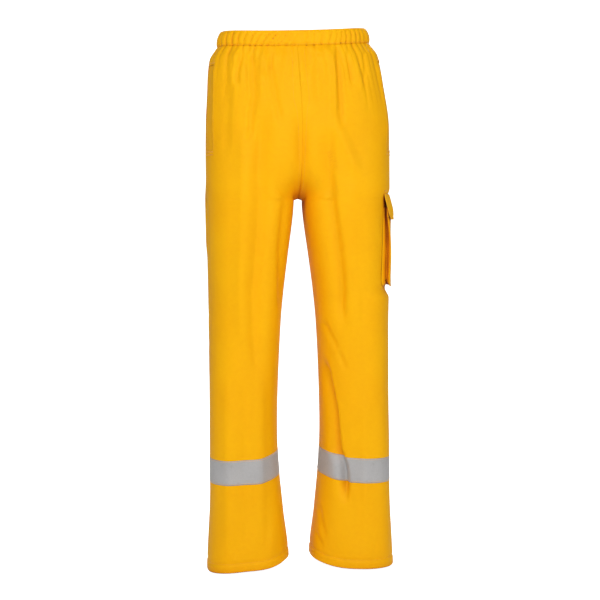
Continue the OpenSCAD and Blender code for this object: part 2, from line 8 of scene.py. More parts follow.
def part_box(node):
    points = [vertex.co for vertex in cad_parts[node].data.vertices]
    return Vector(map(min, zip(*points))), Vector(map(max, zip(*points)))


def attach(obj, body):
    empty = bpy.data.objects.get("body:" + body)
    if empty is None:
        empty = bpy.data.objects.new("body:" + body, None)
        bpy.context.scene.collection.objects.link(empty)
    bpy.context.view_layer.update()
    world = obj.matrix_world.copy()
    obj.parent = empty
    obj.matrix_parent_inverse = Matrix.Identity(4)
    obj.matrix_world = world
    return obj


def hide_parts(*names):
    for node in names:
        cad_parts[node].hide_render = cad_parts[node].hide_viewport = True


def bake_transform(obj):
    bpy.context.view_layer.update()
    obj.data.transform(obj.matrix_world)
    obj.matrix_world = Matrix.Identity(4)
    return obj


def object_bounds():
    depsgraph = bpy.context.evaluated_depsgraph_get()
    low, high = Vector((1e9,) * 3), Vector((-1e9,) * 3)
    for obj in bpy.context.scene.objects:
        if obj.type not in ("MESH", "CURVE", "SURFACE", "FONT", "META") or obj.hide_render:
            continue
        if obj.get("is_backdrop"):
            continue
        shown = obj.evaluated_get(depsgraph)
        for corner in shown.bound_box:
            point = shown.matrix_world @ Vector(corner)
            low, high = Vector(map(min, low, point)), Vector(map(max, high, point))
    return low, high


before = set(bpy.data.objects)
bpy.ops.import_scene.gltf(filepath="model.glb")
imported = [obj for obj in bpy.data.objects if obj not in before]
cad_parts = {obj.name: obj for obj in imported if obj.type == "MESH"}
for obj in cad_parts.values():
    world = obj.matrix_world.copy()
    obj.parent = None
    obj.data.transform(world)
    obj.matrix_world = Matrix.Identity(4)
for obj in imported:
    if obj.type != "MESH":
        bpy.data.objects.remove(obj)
cad_lo, cad_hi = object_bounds()

# ---- Sizes, in millimetres, read from the frame --------------------------------------------------

MM = 0.001
FRONT, BACK = 1, -1
RIGHT, LEFT = -1, 1


def low(node):
    return np.array(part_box(node)[0]) / MM


def high(node):
    return np.array(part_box(node)[1]) / MM


LENGTH = -cad_lo[2] / MM
FRONT_DEPTH = 122.0
BACK_DEPTH = 134.0
WAIST_HALF, HIP_HALF, KNEE_HALF = 150.0, 188.0, 185.0
CROTCH = -350.0
GAP, HEM_GAP = 44.0, 23.0
SKEW, LIFT = 0.15, 12.0
FRONT_DIP, BACK_RISE = -9.0, 5.0
CLOTH = 0.8
SLOT = 10.0
PLY = -0.9
TUNNEL = 5.0
MOUTH_TOP = -69.0
MOUTH_LOW = MOUTH_TOP - 179.0
MOUTH_V = 0.25
CENTRE_ROW_V = 0.977
TAPE_SHARE = 0.045
HEM_TOP = 18.0 - LENGTH
TAPE_LOW = 175.0 - LENGTH
TAPE_TOP = TAPE_LOW + 50.0
POCKET_TOP = high("cargo_pocket_front")[2]
POCKET_LOW = low("cargo_pocket_front")[2]
POCKET_HALF = high("cargo_pocket_front")[1]
POCKET_X = high("cargo_pocket_front")[0]
POCKET_R = 270.0
PLEAT = 13.0
FLAP_TOP = -338.0
FLAP_H = FLAP_TOP - low("cargo_flap")[2]
FLAP_HALF = high("cargo_flap")[1]
FLAP_X = high("cargo_flap")[0]
FLAP_R = 520.0
FLAP_T = 0.7

WIDTHS = [(0, WAIST_HALF), (-16, WAIST_HALF + 4), (-30, WAIST_HALF + 5.5), (-56, 168),
          (-125, HIP_HALF - 8), (-190, HIP_HALF - 0.5), (-350, HIP_HALF), (-600, KNEE_HALF),
          (-850, KNEE_HALF), (-970, KNEE_HALF + 1), (-1100, 192)]
GAPS = [(-350, 9.5), (-390, 12.5), (-460, GAP / 2), (-530, 0.7 * GAP), (-600, 0.85 * GAP), (-760, GAP),
        (-880, GAP), (-1000, (GAP + HEM_GAP) / 2), (-1100, HEM_GAP)]
FRONTS = [(0, FRONT_DEPTH - 12), (-100, FRONT_DEPTH - 2), (-200, FRONT_DEPTH),
          (-350, FRONT_DEPTH - 8), (-560, FRONT_DEPTH - 24), (-850, FRONT_DEPTH - 37),
          (-960, FRONT_DEPTH - 37), (-1100, FRONT_DEPTH - 30)]
BACKS = [(0, BACK_DEPTH - 33), (-100, BACK_DEPTH - 15), (-200, BACK_DEPTH), (-350, BACK_DEPTH - 15),
         (-560, BACK_DEPTH - 44), (-850, BACK_DEPTH - 47), (-1100, BACK_DEPTH - 40)]
ROUND, FLAT_SIDE, SEAT_POWER, PRESS = 0.78, 0.755, 2.4, 8.0

rng = np.random.default_rng(11)


def ease(q):
    c = np.clip(q, 0.0, 1.0)
    return c * c * (3 - 2 * c)


def bell(q):
    return np.exp(-q * q)


# ---- The shape of the cloth ----------------------------------------------------------------------


def curve(table, z):
    """A smooth curve through stations that run downwards."""
    t = np.array(table, float)
    zz, vv = t[:, 0], t[:, 1]
    slope = np.zeros(len(t))
    slope[1:-1] = (vv[2:] - vv[:-2]) / (zz[2:] - zz[:-2])
    i = np.clip(np.searchsorted(-zz, -z, side="right") - 1, 0, len(t) - 2)
    step = zz[i + 1] - zz[i]
    q = np.clip((z - zz[i]) / step, 0, 1)
    hump = q * (1 - q) * ((1 - q) * slope[i] * step - q * slope[i + 1] * step)
    return vv[i] + (vv[i + 1] - vv[i]) * ease(q) + hump


def pressed(side, z):
    push = ease((FLAP_TOP + 12 - z) / 26) * ease((z - POCKET_LOW + 24) / 20)
    return np.where(side > 0, push, 0.0)


def lower(z):
    return ease((-z - 0.52 * LENGTH) / (0.26 * LENGTH))


def outline(side, z):
    """Middle, half width and last angle of one half's outline."""
    w = curve(WIDTHS, z) - PRESS * pressed(side, z)
    g = curve(GAPS, z)
    seat = np.clip((-60 - z) / (-60 - CROTCH), 0, 1) ** SEAT_POWER
    # It runs on into the legs without a crease
    seat = np.minimum(1, seat + (seat - seat * seat) * ease((seat - 0.35) / 0.65))
    up = z > CROTCH
    mid = np.where(up, w * seat / (1 + seat), (w + g) / 2)
    half = np.where(up, w / (1 + seat), (w - g) / 2)
    last = np.where(up, np.degrees(np.arccos(-(seat ** (1 / ROUND)))), 180.0)
    return mid, half, last


def smooth_point(side, face, v, z):
    """The plain surface: point and unit normal."""
    side, face, v, z = np.broadcast_arrays(*[np.asarray(q, float) for q in (side, face, v, z)])
    mid, half, last = outline(side, z)
    ang = np.radians(v * last)
    e = np.where(ang < np.pi / 2, ROUND - (ROUND - FLAT_SIDE) * pressed(side, z), ROUND)
    depth = np.where(face > 0, curve(FRONTS, z), curve(BACKS, z))
    co, si = np.cos(ang), np.clip(np.sin(ang), 1e-9, 1)
    c = np.sign(co) * np.abs(co) ** e
    k = SKEW * lower(z)
    ny = -face * si ** (2 - e) / depth
    nx = np.sign(co) * np.abs(co) ** (2 - e) / half + k * ny
    size = np.hypot(nx, ny)
    nx, ny = nx / size, ny / size
    x = mid + half * c
    # Above the crotch the two legs already part in front of the seam between them
    slot = SLOT * ease((-z + CROTCH + 84) / 76) * (z > CROTCH)
    x = x + slot * ease((v - 0.62) / 0.16) * (1 - ease((v - 0.94) / 0.06))
    # The centre seam: both halves meet on the middle plane, and turn to face straight out
    upper = ease((z - CROTCH) / 30)
    turn = ease((v - 0.93) / 0.07) * upper
    nx = nx * (1 - turn)
    ny = ny * (1 - turn) - face * turn
    size = np.hypot(nx, ny)
    nx, ny = nx / size, ny / size
    x = np.where((v >= 0.9995) & (z > CROTCH + 0.01), 0.0, x)
    dip = np.where(face > 0, FRONT_DIP, BACK_RISE)
    rise = dip * np.sin(np.pi / 2 * v) ** 2 * ease((z + 200) / (200 - 30))
    rise = rise + lower(z) * LIFT * (0.6 * ease((v - 0.35) / 0.65) + 0.55 * ease((v - 0.55) / 0.35))
    p = np.stack([side * x, -face * depth * si ** e - k * half * c, z + rise], -1)
    return p, np.stack([side * nx, ny, 0 * ny], -1)


# ---- Folds ---------------------------------------------------------------------------------------

# Each fold: depth (a ridge is negative), half width, fade at its ends, its way down the cloth as
# (x, height), and how much wider its right side is than its left. Those of the front:
FRONT_FOLDS = [
    (5.0, 6, 22, [(-106, -31), (-114, -60), (-122, -85), (-127, -118)]),
    (-3.5, 8, 20, [(-116, -32), (-129, -72), (-135, -120)]),
    (3.0, 10, 40, [(-129, -32), (-132, -80), (-143, -115), (-150, -200), (-151, -270)]),
    (6.5, 9, 30, [(-95, -30), (-90, -73), (-93, -139), (-101, -173), (-106, -240)], 0.2),
    (-4.5, 9, 22, [(-66, -30), (-64, -60), (-68, -100)]),
    (4.5, 7, 30, [(-56, -30), (-55, -90), (-51, -143), (-43, -205)]),
    (9.5, 17, 90, [(-76, -150), (-81, -198), (-87, -301), (-84, -350), (-90, -439), (-98, -529),
                    (-96, -630), (-89, -720)], 0.25),
    (-4.0, 15, 80, [(-118, -190), (-118, -360), (-124, -520), (-120, -660)]),
    (4.5, 10, 50, [(-30, -330), (-36, -380), (-41, -450), (-41, -583)]),
    (1.8, 8, 25, [(17, -30), (16, -60), (12, -90)]),
    (-3.0, 6, 10, [(24, -31), (42, -49), (62, -36)]),
    (3.0, 10, 30, [(31, -55), (33, -100), (30, -165)]),
    (-4.5, 6, 30, [(69, -30), (69, -100), (64, -190)]),
    (5.0, 7, 30, [(77, -30), (78, -110), (79, -215)]),
    (3.5, 4, 20, [(98, -30), (101, -81), (105, -122)]),
    (-3.5, 8, 25, [(111, -50), (116, -85), (124, -135)]),
    (2.5, 5, 25, [(135, -30), (134, -80), (129, -128)]),
    (-4.5, 14, 35, [(62, -185), (78, -225), (98, -270), (113, -312)]),
    (10.0, 15, 60, [(54, -200), (54, -301), (59, -360), (68, -420), (76, -481), (79, -531), (77, -562),
                  (83, -610)], -0.4),
    (-4.0, 15, 60, [(103, -300), (99, -380), (104, -551), (104, -640)]),
    (3.0, 6, 16, [(43, -592), (58, -626), (73, -655)]),
    (3.0, 6, 14, [(72, -652), (80, -672), (90, -697)]),
    (3.0, 6, 16, [(47, -712), (56, -738), (66, -763)]),
    (16.0, 11, 50, [(44, -668), (55, -730), (65, -784), (72, -860), (84, -892), (88, -925),
                    (86, -975)], -0.4),
    (-2.5, 12, 60, [(-150, -690), (-153, -1080)]),
    (-3.5, 15, 60, [(-85, -700), (-86, -900), (-87, -1085)], -0.2),
    (2.5, 16, 60, [(-118, -700), (-119, -1085)]),
    (-2.5, 14, 60, [(125, -740), (128, -1060)]),
    (2.5, 5, 14, [(36, -985), (42, -1020), (49, -1050)]),
    (2.5, 5, 10, [(28, -1040), (45, -1072)]),
    (-2.0, 12, 30, [(-60, -1010), (-70, -1085)]),
    (2.0, 9, 30, [(-140, -1020), (-136, -1085)]),
    (2.0, 10, 30, [(150, -1030), (145, -1085)]),
]
# The crease that draws in to the crotch, on the front and a softer one on the back
CROTCH_FOLDS = [
    (9.0, 14, 110, [(-3, -150), (-2, -250), (0, -334)]),
]
BACK_FOLDS = [
    (5.0, 8, 40, [(-88, -30), (-92, -90), (-84, -190)]),
    (6.0, 9, 40, [(62, -30), (60, -100), (70, -215)]),
    (4.0, 7, 30, [(118, -30), (122, -90), (118, -150)]),
    (4.0, 7, 30, [(-124, -30), (-130, -80), (-128, -150)]),
    (4.0, 7, 30, [(22, -28), (20, -70), (24, -130)]),
    (-4.0, 9, 30, [(-34, -28), (-30, -80), (-34, -140)]),
    (5.5, 13, 40, [(-142, -250), (-100, -300), (-50, -335), (-14, -345)]),
    (5.5, 13, 40, [(136, -262), (96, -306), (48, -338), (14, -346)]),
    (4.0, 12, 40, [(-130, -330), (-96, -362), (-56, -380)]),
    (4.5, 12, 40, [(128, -335), (92, -366), (54, -384)]),
    (6.0, 13, 80, [(-100, -400), (-92, -520), (-98, -640)]),
    (6.0, 13, 80, [(102, -410), (96, -530), (90, -650)]),
    (4.5, 9, 30, [(-150, -610), (-110, -640), (-70, -632)]),
    (4.0, 9, 30, [(-140, -668), (-104, -690), (-66, -676)]),
    (4.5, 9, 30, [(60, -618), (104, -642), (148, -622)]),
    (4.0, 9, 30, [(66, -676), (108, -700), (146, -684)]),
    (6.0, 12, 70, [(-92, -720), (-104, -850), (-100, -1000)]),
    (5.0, 12, 70, [(96, -735), (110, -860), (104, -990)]),
    (-3.0, 14, 60, [(-140, -740), (-144, -1060)]),
    (-3.0, 14, 60, [(146, -740), (148, -1060)]),
    (3.0, 9, 30, [(-70, -1010), (-76, -1085)]),
    (3.0, 9, 30, [(80, -1000), (74, -1085)]),
]
# Those that run round the sides, as (y, height)
RIGHT_SIDE_FOLDS = [
    (3.0, 9, 40, [(-30, -280), (-8, -360), (-4, -470)]),
    (-2.5, 12, 50, [(22, -300), (26, -480)]),
    (3.0, 9, 30, [(34, -560), (0, -600), (-34, -622)]),
    (2.5, 8, 30, [(36, -620), (4, -652), (-26, -668)]),
    (3.5, 11, 60, [(10, -700), (16, -840), (8, -1000)]),
    (2.5, 8, 25, [(-24, -1000), (-18, -1080)]),
]
LEFT_SIDE_FOLDS = [
    (3.0, 9, 30, [(36, -590), (4, -628), (-30, -650)]),
    (2.5, 8, 30, [(30, -640), (0, -676), (-28, -690)]),
    (3.5, 11, 60, [(-6, -720), (-12, -860), (-2, -1010)]),
    (2.5, 8, 25, [(20, -1000), (26, -1080)]),
    (2.5, 9, 30, [(-14, -110), (-6, -200), (-12, -300)]),
]


def fold(a, z, depth, half, fade, way, skew=0.0):
    """How far one fold draws in the points at (a, z)."""
    pts = np.array(way, float)
    reach = 3.2 * half * (1 + abs(skew))
    near = (
        (a > pts[:, 0].min() - reach) & (a < pts[:, 0].max() + reach)
        & (z > pts[:, 1].min() - reach) & (z < pts[:, 1].max() + reach)
    )
    out = np.zeros(a.shape)
    if not near.any():
        return out
    u, w = a[near], z[near]
    best = np.full(u.shape, 1e9)
    share = np.zeros(u.shape)
    right = np.zeros(u.shape)
    runs = np.hypot(*(pts[1:] - pts[:-1]).T)
    total, start = runs.sum(), 0.0
    for p, q, run in zip(pts[:-1], pts[1:], runs):
        d = (q - p) / run
        t = np.clip((u - p[0]) * d[0] + (w - p[1]) * d[1], 0, run)
        far = np.hypot(u - p[0] - t * d[0], w - p[1] - t * d[1])
        m = far < best
        best[m] = far[m]
        right[m] = np.tanh((u[m] - p[0] - t[m] * d[0]) / 9.0)
        share[m] = start + t[m]
        start += run
    fade = min(fade, total / 2)
    taper = ease(share / fade) * ease((total - share) / fade)
    q = best / (half * (1 + skew * right))
    out[near] = depth * taper * (1 - 0.45 * q * q) * np.exp(-q * q)
    return out


def folds(table, a, z):
    total = np.zeros(a.shape)
    for f in table:
        total += fold(a, z, *f)
    return total


# The waist's length all round, and the end of the gathers below the band's seam
WAIST_ROUND = 870.0
BAND_SEAM = -30


def round_place(side, face, v):
    """Place round the waist in turns: 0 at the left outseam, then the front, the right and the back."""
    return np.where(
        face > 0,
        np.where(side > 0, v / 4, 0.5 - v / 4),
        np.where(side > 0, 1 - v / 4, 0.5 + v / 4),
    )


def front_place(x):
    """Place round the waist of a point of the front's top at x."""
    v = np.degrees(np.arccos(np.clip(abs(x) / (WAIST_HALF + 5.5), 0, 1) ** (1 / ROUND))) / 90
    return v / 4 if x > 0 else 0.5 - v / 4


# Where the gathered cloth is drawn in under the band: by x across the front, and seeded round the back
FRONT_GATHERS = [150, 141, 132, 122, 111, 99, 88, 77, 64, 48, 33, 18, -8, -22, -38, -47, -58, -72,
                 -84, -95, -107, -118, -129, -141, -150]
GATHER_PLACES = sorted(
    [front_place(x) for x in FRONT_GATHERS]
    + [(0.5 + (k + 0.5 + rng.uniform(-0.28, 0.28)) / 60) for k in range(30)]
    + [0.012, 0.035, 0.467, 0.49]
)
GATHER_DEEP = rng.uniform(0.75, 1.35, len(GATHER_PLACES) + 1)
GATHER_RUN = rng.uniform(36, 105, len(GATHER_PLACES) + 1)


def between(place, places):
    """The gap that each place falls in, and its share of the way across."""
    stops = np.concatenate([[places[-1] - 1], places, [places[0] + 1]])
    k = np.clip(np.searchsorted(stops, place, side="right") - 1, 0, len(stops) - 2)
    return k % len(places), (place - stops[k]) / (stops[k + 1] - stops[k]), stops[k + 1] - stops[k]


def gathers(place, x, front, z):
    """Rounded pleats between sharp valleys, on the band and under it."""
    lean = 0.12 + 0.5 * bell((x + 45) / 42) + 0.25 * bell((x - 72) / 22)
    lean = np.where(front, lean * (1 - ease((np.abs(x) - 95) / 40)), 0.25 * np.sin(9 * math.tau * place))
    below = z <= BAND_SEAM
    drop = np.clip(BAND_SEAM - z, 0, None)
    on_band = place + lean / WAIST_ROUND * (z - BAND_SEAM) * ~below
    wander = 0.0035 * np.sin(math.tau * 5 * place - z / 37) * ease((-34 - z) / 60)
    k, f, gap = between(np.mod(np.where(below, place + wander, on_band), 1.0), GATHER_PLACES)
    pleat = np.clip(np.sin(np.pi * f), 0, 1) ** 0.46 - 0.69
    size = GATHER_DEEP[k] * np.clip(gap / 0.018, 0.6, 1.5)
    band = 4.2 * pleat * size * ease((-z - 0.5) / 7) * ~below
    skirt = 6.0 * pleat * size * np.exp(-drop / GATHER_RUN[k]) * ease((-z + 20) / 60) * below
    skirt = skirt * ease((190 + z) / 60) * (1 - 0.45 * ease((np.abs(x) - 95) / 30) * front)
    # Every third valley runs deeper and further down
    wide, share, _ = between(np.mod(place + 1.6 * wander, 1.0), GATHER_PLACES[::3])
    long = 5.0 * (np.clip(np.sin(np.pi * share), 0, 1) ** 0.75 - 0.6) * GATHER_DEEP[wide]
    long = long * np.exp(-drop / 95.0) * below * ease((240 + z) / 90) * ease((-z - 24) / 20)
    seam = 1.7 * bell((z + 29.5) / 2.6)
    return band + skirt * 0.95 + long * 0.8 - seam


def relief(side, face, v, z, p):
    """How far the cloth stands out of the plain surface, in millimetres."""
    x, y = p[..., 0], p[..., 1]
    front = face > 0
    out = np.zeros(x.shape)
    out -= np.where(front, folds(FRONT_FOLDS, x, z), folds(BACK_FOLDS, x, z))
    away = ease(v / 0.16)
    shade = 1 - ease((v - 0.82) / 0.16) * ease((CROTCH + 20 - z) / 30)
    out = out * away * shade
    sides = np.where(side > 0, folds(LEFT_SIDE_FOLDS, y, z), folds(RIGHT_SIDE_FOLDS, y, z))
    out -= sides * (1 - ease((v - 0.1) / 0.2))
    out += gathers(round_place(side, face, v), x, front, z)
    # The band bulges over its elastic, and the cloth under it blouses out over the seam
    out += 0.9 * np.clip(1 - ((z + 15) / 15) ** 2, 0, 1)
    below = ease((-26 - z) / 10)
    out += 2.6 * ease((-32 - z) / 22) * (1 - ease((-z - 60) / 120))
    # Crotch
    at_seam = ease((v - 0.55) / 0.4)
    out -= np.where(front, 1.0, 0.6) * folds(CROTCH_FOLDS, x, z) * at_seam * ease((z - CROTCH + 4) / 26)
    centre = ease((z - CROTCH - 60) / 60) * (1 - ease((-40 - z) / -8))
    out -= centre * 0.4 * bell((v - CENTRE_ROW_V) / 0.008)
    # Broad soft unevenness
    out += 1.5 * np.sin(x / 41 + z / 173) * np.sin(z / 97 + 0.9 * face) * away * shade * below
    out += 0.7 * np.sin(x / 17 - z / 61) * np.sin(z / 43) * away * shade * below
    # Hem
    hem = ease((-z - LENGTH + 70) / 60)
    out += hem * 1.3 * np.sin(x / 15.0) * away * shade
    groove = bell((z - HEM_TOP) / 2.4)
    out -= 2.0 * groove + groove * 0.5 * np.sin(x / 2.6 + y / 2.9)
    out += 0.8 * ease((HEM_TOP + 2 - z) / 4)
    # Nothing stands out under the cargo pocket
    under = pressed(side, z) * (1 - ease((v - 0.42) / 0.14))
    calm = np.maximum(under, ease((z - FLAP_TOP + 30) / 20) * ease((FLAP_TOP + 16 - z) / 20) * under)
    return out * (1 - calm)


def sway(z):
    """The waist hangs a little to the wearer's right of the legs."""
    return -8.6 * ease((z + 210) / 210)


def cloth(side, face, v, z):
    """Point and normal of the folded cloth's outer face."""
    side, face, v, z = np.broadcast_arrays(*[np.asarray(q, float) for q in (side, face, v, z)])
    p, n = smooth_point(side, face, v, z)
    p = p + n * relief(side, face, v, z, p)[..., None]
    p[..., 2] += 4.5 * p[..., 0] / HIP_HALF * ease((z + 280) / 250)
    p[..., 2] -= np.where(side < 0, 6.0, 0.0) * (1 - ease(v / 0.6)) * ease((-z - LENGTH + 170) / 150)
    p[..., 2] -= 4.5 * ease((z + 260) / 240)
    p[..., 0] += sway(z)
    return p, n


def mouth_lift(side, face, v, z):
    """The front panel stands away from the pocket facing along its mouth."""
    along = ease((MOUTH_TOP + 6 - z) / 22) * ease((z - MOUTH_LOW + 6) / 60)
    return np.where(face > 0, 2.4 * along * (1 - ease((v - MOUTH_V) / 0.12)), 0.0)


# ---- Mesh makers ---------------------------------------------------------------------------------


def make(name, points, faces, uvs=None):
    mesh = bpy.data.meshes.new(name)
    mesh.from_pydata((np.asarray(points) * MM).tolist(), [], faces)
    mesh.polygons.foreach_set("use_smooth", np.ones(len(mesh.polygons), bool))
    if uvs is not None:
        layer = mesh.uv_layers.new(name="cloth")
        index = np.zeros(len(mesh.loops), np.int32)
        mesh.loops.foreach_get("vertex_index", index)
        layer.data.foreach_set("uv", np.asarray(uvs, float)[index].ravel().astype(np.float32))
        layer.active_render = True
    mesh.validate()
    mesh.update()
    obj = bpy.data.objects.new(name, mesh)
    bpy.context.scene.collection.objects.link(obj)
    return obj


def grid_uv(grid):
    """Arc lengths across and down a grid of points, in metres."""
    across = np.zeros(grid.shape[:2])
    down = np.zeros(grid.shape[:2])
    across[:, 1:] = np.cumsum(np.linalg.norm(np.diff(grid, axis=1), axis=-1), axis=1)
    down[1:] = np.cumsum(np.linalg.norm(np.diff(grid, axis=0), axis=-1), axis=0)
    across = np.repeat(across.mean(axis=0)[None], grid.shape[0], axis=0)
    down = np.repeat(down.mean(axis=1)[:, None], grid.shape[1], axis=1)
    return np.stack([across, -down], -1) * MM


def thin(name, outer, inner, wraps=False, hole=None):
    """A closed thin piece between two matching grids. hole is a mask of cells left out."""
    rows, cols = outer.shape[:2]
    across = cols if wraps else cols - 1
    keep = np.ones((rows - 1, across), bool)
    if hole is not None:
        keep &= ~hole
    ii, jj = np.nonzero(keep)
    nn = (jj + 1) % cols
    size = rows * cols
    a, b, c, d = ii * cols + jj, ii * cols + nn, (ii + 1) * cols + nn, (ii + 1) * cols + jj
    quads = [np.stack([a, b, c, d], 1), np.stack([a + size, d + size, c + size, b + size], 1)]
    broad = 2 * len(a)
    wide = np.zeros((rows + 1, across + 2), bool)
    wide[1:-1, 1:-1] = keep
    if wraps:
        wide[:, 0], wide[:, -1] = wide[:, -2].copy(), wide[:, 1].copy()
    around_it = [
        (wide[:-2, 1:-1], (b, a)), (wide[1:-1, 2:], (c, b)),
        (wide[2:, 1:-1], (d, c)), (wide[1:-1, :-2], (a, d)),
    ]
    for neighbour, (p, q) in around_it:
        edge = ~neighbour[ii, jj]
        p, q = p[edge], q[edge]
        quads.append(np.stack([p, q, q + size, p + size], 1))
    faces = np.concatenate(quads)
    points = np.concatenate([outer.reshape(-1, 3), inner.reshape(-1, 3)])
    uv = grid_uv(outer).reshape(-1, 2)
    uvs = np.concatenate([uv, uv])
    used = np.unique(faces)
    renumber = np.zeros(len(points), int)
    renumber[used] = np.arange(len(used))
    points, uvs, faces = points[used], uvs[used], renumber[faces]
    p = points[faces]
    volume = np.einsum("ij,ij->i", p[:, 0], np.cross(p[:, 1] - p[:, 0], p[:, 2] - p[:, 0])).sum()
    volume += np.einsum("ij,ij->i", p[:, 0], np.cross(p[:, 2] - p[:, 0], p[:, 3] - p[:, 0])).sum()
    if volume < 0:
        faces = faces[:, ::-1]
    obj = make(name, points, faces.tolist(), uvs)
    # The cut edges stay crisp
    obj.data.polygons.foreach_set("use_smooth", np.arange(len(faces)) < broad)
    obj.data.update()
    return obj


def columns(*parts):
    """Columns as arrays of side, face and share, from (side, face, shares) parts."""
    side = np.concatenate([np.full(len(v), s, float) for s, f, v in parts])
    face = np.concatenate([np.full(len(v), f, float) for s, f, v in parts])
    return side, face, np.concatenate([np.asarray(v, float) for s, f, v in parts])


def folded(name, cols, pairs, wraps=False, lift=None, hole=None):
    """A layer that folds. Each row is ((offset, height), (offset, height))."""
    grids = []
    for k in (0, 1):
        z = np.array([r[k][1] for r in pairs], float)[:, None]
        off = np.array([r[k][0] for r in pairs], float)[:, None, None]
        p, n = cloth(*cols, np.minimum(z, 0.0))
        p[..., 2] += np.maximum(z, 0.0)
        if lift is not None:
            p = p + n * lift(*np.broadcast_arrays(*cols, z))[..., None]
        grids.append(p + n * off)
    return thin(name, grids[0], grids[1], wraps, hole)


def layer(name, cols, heights, outside, inside, wraps=False):
    """A layer of cloth. outside and inside are offsets from the outer face, for each row."""
    count = len(heights)
    out, ins = np.broadcast_to(outside, count), np.broadcast_to(inside, count)
    return folded(name, cols, [((a, z), (b, z)) for a, b, z in zip(out, ins, heights)], wraps)


# A stitch's outline across, as (width, height), and its stops along with how thick it is at each
STITCH_RING = np.array([(-0.5, 0.0), (-0.42, 0.7), (0.0, 1.0), (0.42, 0.7), (0.5, 0.0), (0.0, -0.35)])
STITCH_STOPS = np.array([0.0, 0.16, 0.5, 0.84, 1.0])
STITCH_SWELL = np.array([0.25, 0.82, 1.0, 0.82, 0.25])
TACK = {"length": 2.0, "gap": 0.35, "width": 0.62, "height": 0.5}


def stitch_row(way, normals, length=3.0, gap=0.9, width=0.75, height=0.42, sink=0.12):
    """Separate stitches along a way of points: their vertices and faces."""
    way = np.asarray(way, float)
    normals = np.asarray(normals, float)
    run = np.concatenate([[0], np.cumsum(np.linalg.norm(np.diff(way, axis=0), axis=1))])
    count = max(1, int(run[-1] / (length + gap)))
    pitch = run[-1] / count
    verts, faces, first = [], [], 0
    m = len(STITCH_RING)
    for k in range(count):
        s = pitch * k + gap / 2 + (pitch - gap) * STITCH_STOPS
        c = np.stack([np.interp(s, run, way[:, i]) for i in range(3)], 1)
        n = np.stack([np.interp(s, run, normals[:, i]) for i in range(3)], 1)
        n /= np.linalg.norm(n, axis=1)[:, None]
        t = c[-1] - c[0]
        t /= np.linalg.norm(t)
        across = np.cross(n, t)
        for i, swell in enumerate(STITCH_SWELL):
            for a, h in STITCH_RING:
                verts.append(c[i] + across[i] * a * width * swell + n[i] * (h * height * swell - sink))
        last = len(verts) - m
        for i in range(first, last, m):
            for j in range(m):
                p, q = i + j, i + (j + 1) % m
                faces.append((p, q, q + m, p + m))
        faces += [tuple(range(first, first + m))[::-1], tuple(range(last, last + m))]
        first = len(verts)
    return np.array(verts), faces


def stitches(name, rows, **sizes):
    """One piece out of several rows of stitches, each (way, normals)."""
    points, faces, first = [], [], 0
    for way, normals in rows:
        v, f = stitch_row(way, normals, **sizes)
        points.append(v)
        faces += [tuple(i + first for i in q) for q in f]
        first += len(v)
    points = np.concatenate(points)
    obj = make(name, points, faces, points[:, [0, 2]] * MM + points[:, [1, 1]] * MM * 0.37)
    face_outwards(obj)
    return obj


def face_outwards(obj):
    """Turns each closed part's faces outwards."""
    bm = bmesh.new()
    bm.from_mesh(obj.data)
    bmesh.ops.recalc_face_normals(bm, faces=bm.faces)
    bm.to_mesh(obj.data)
    bm.free()


def on_cloth(side, face, v, z, n, lift=None):
    """A way on the cloth, n outside it, and its normals."""
    side, face, v, z = np.broadcast_arrays(*[np.asarray(q, float) for q in (side, face, v, z)])
    p, normal = cloth(side, face, v, z)
    off = n if lift is None else n + lift(side, face, v, z)
    return p + normal * np.asarray(off)[..., None], normal


# ---- Materials -----------------------------------------------------------------------------------


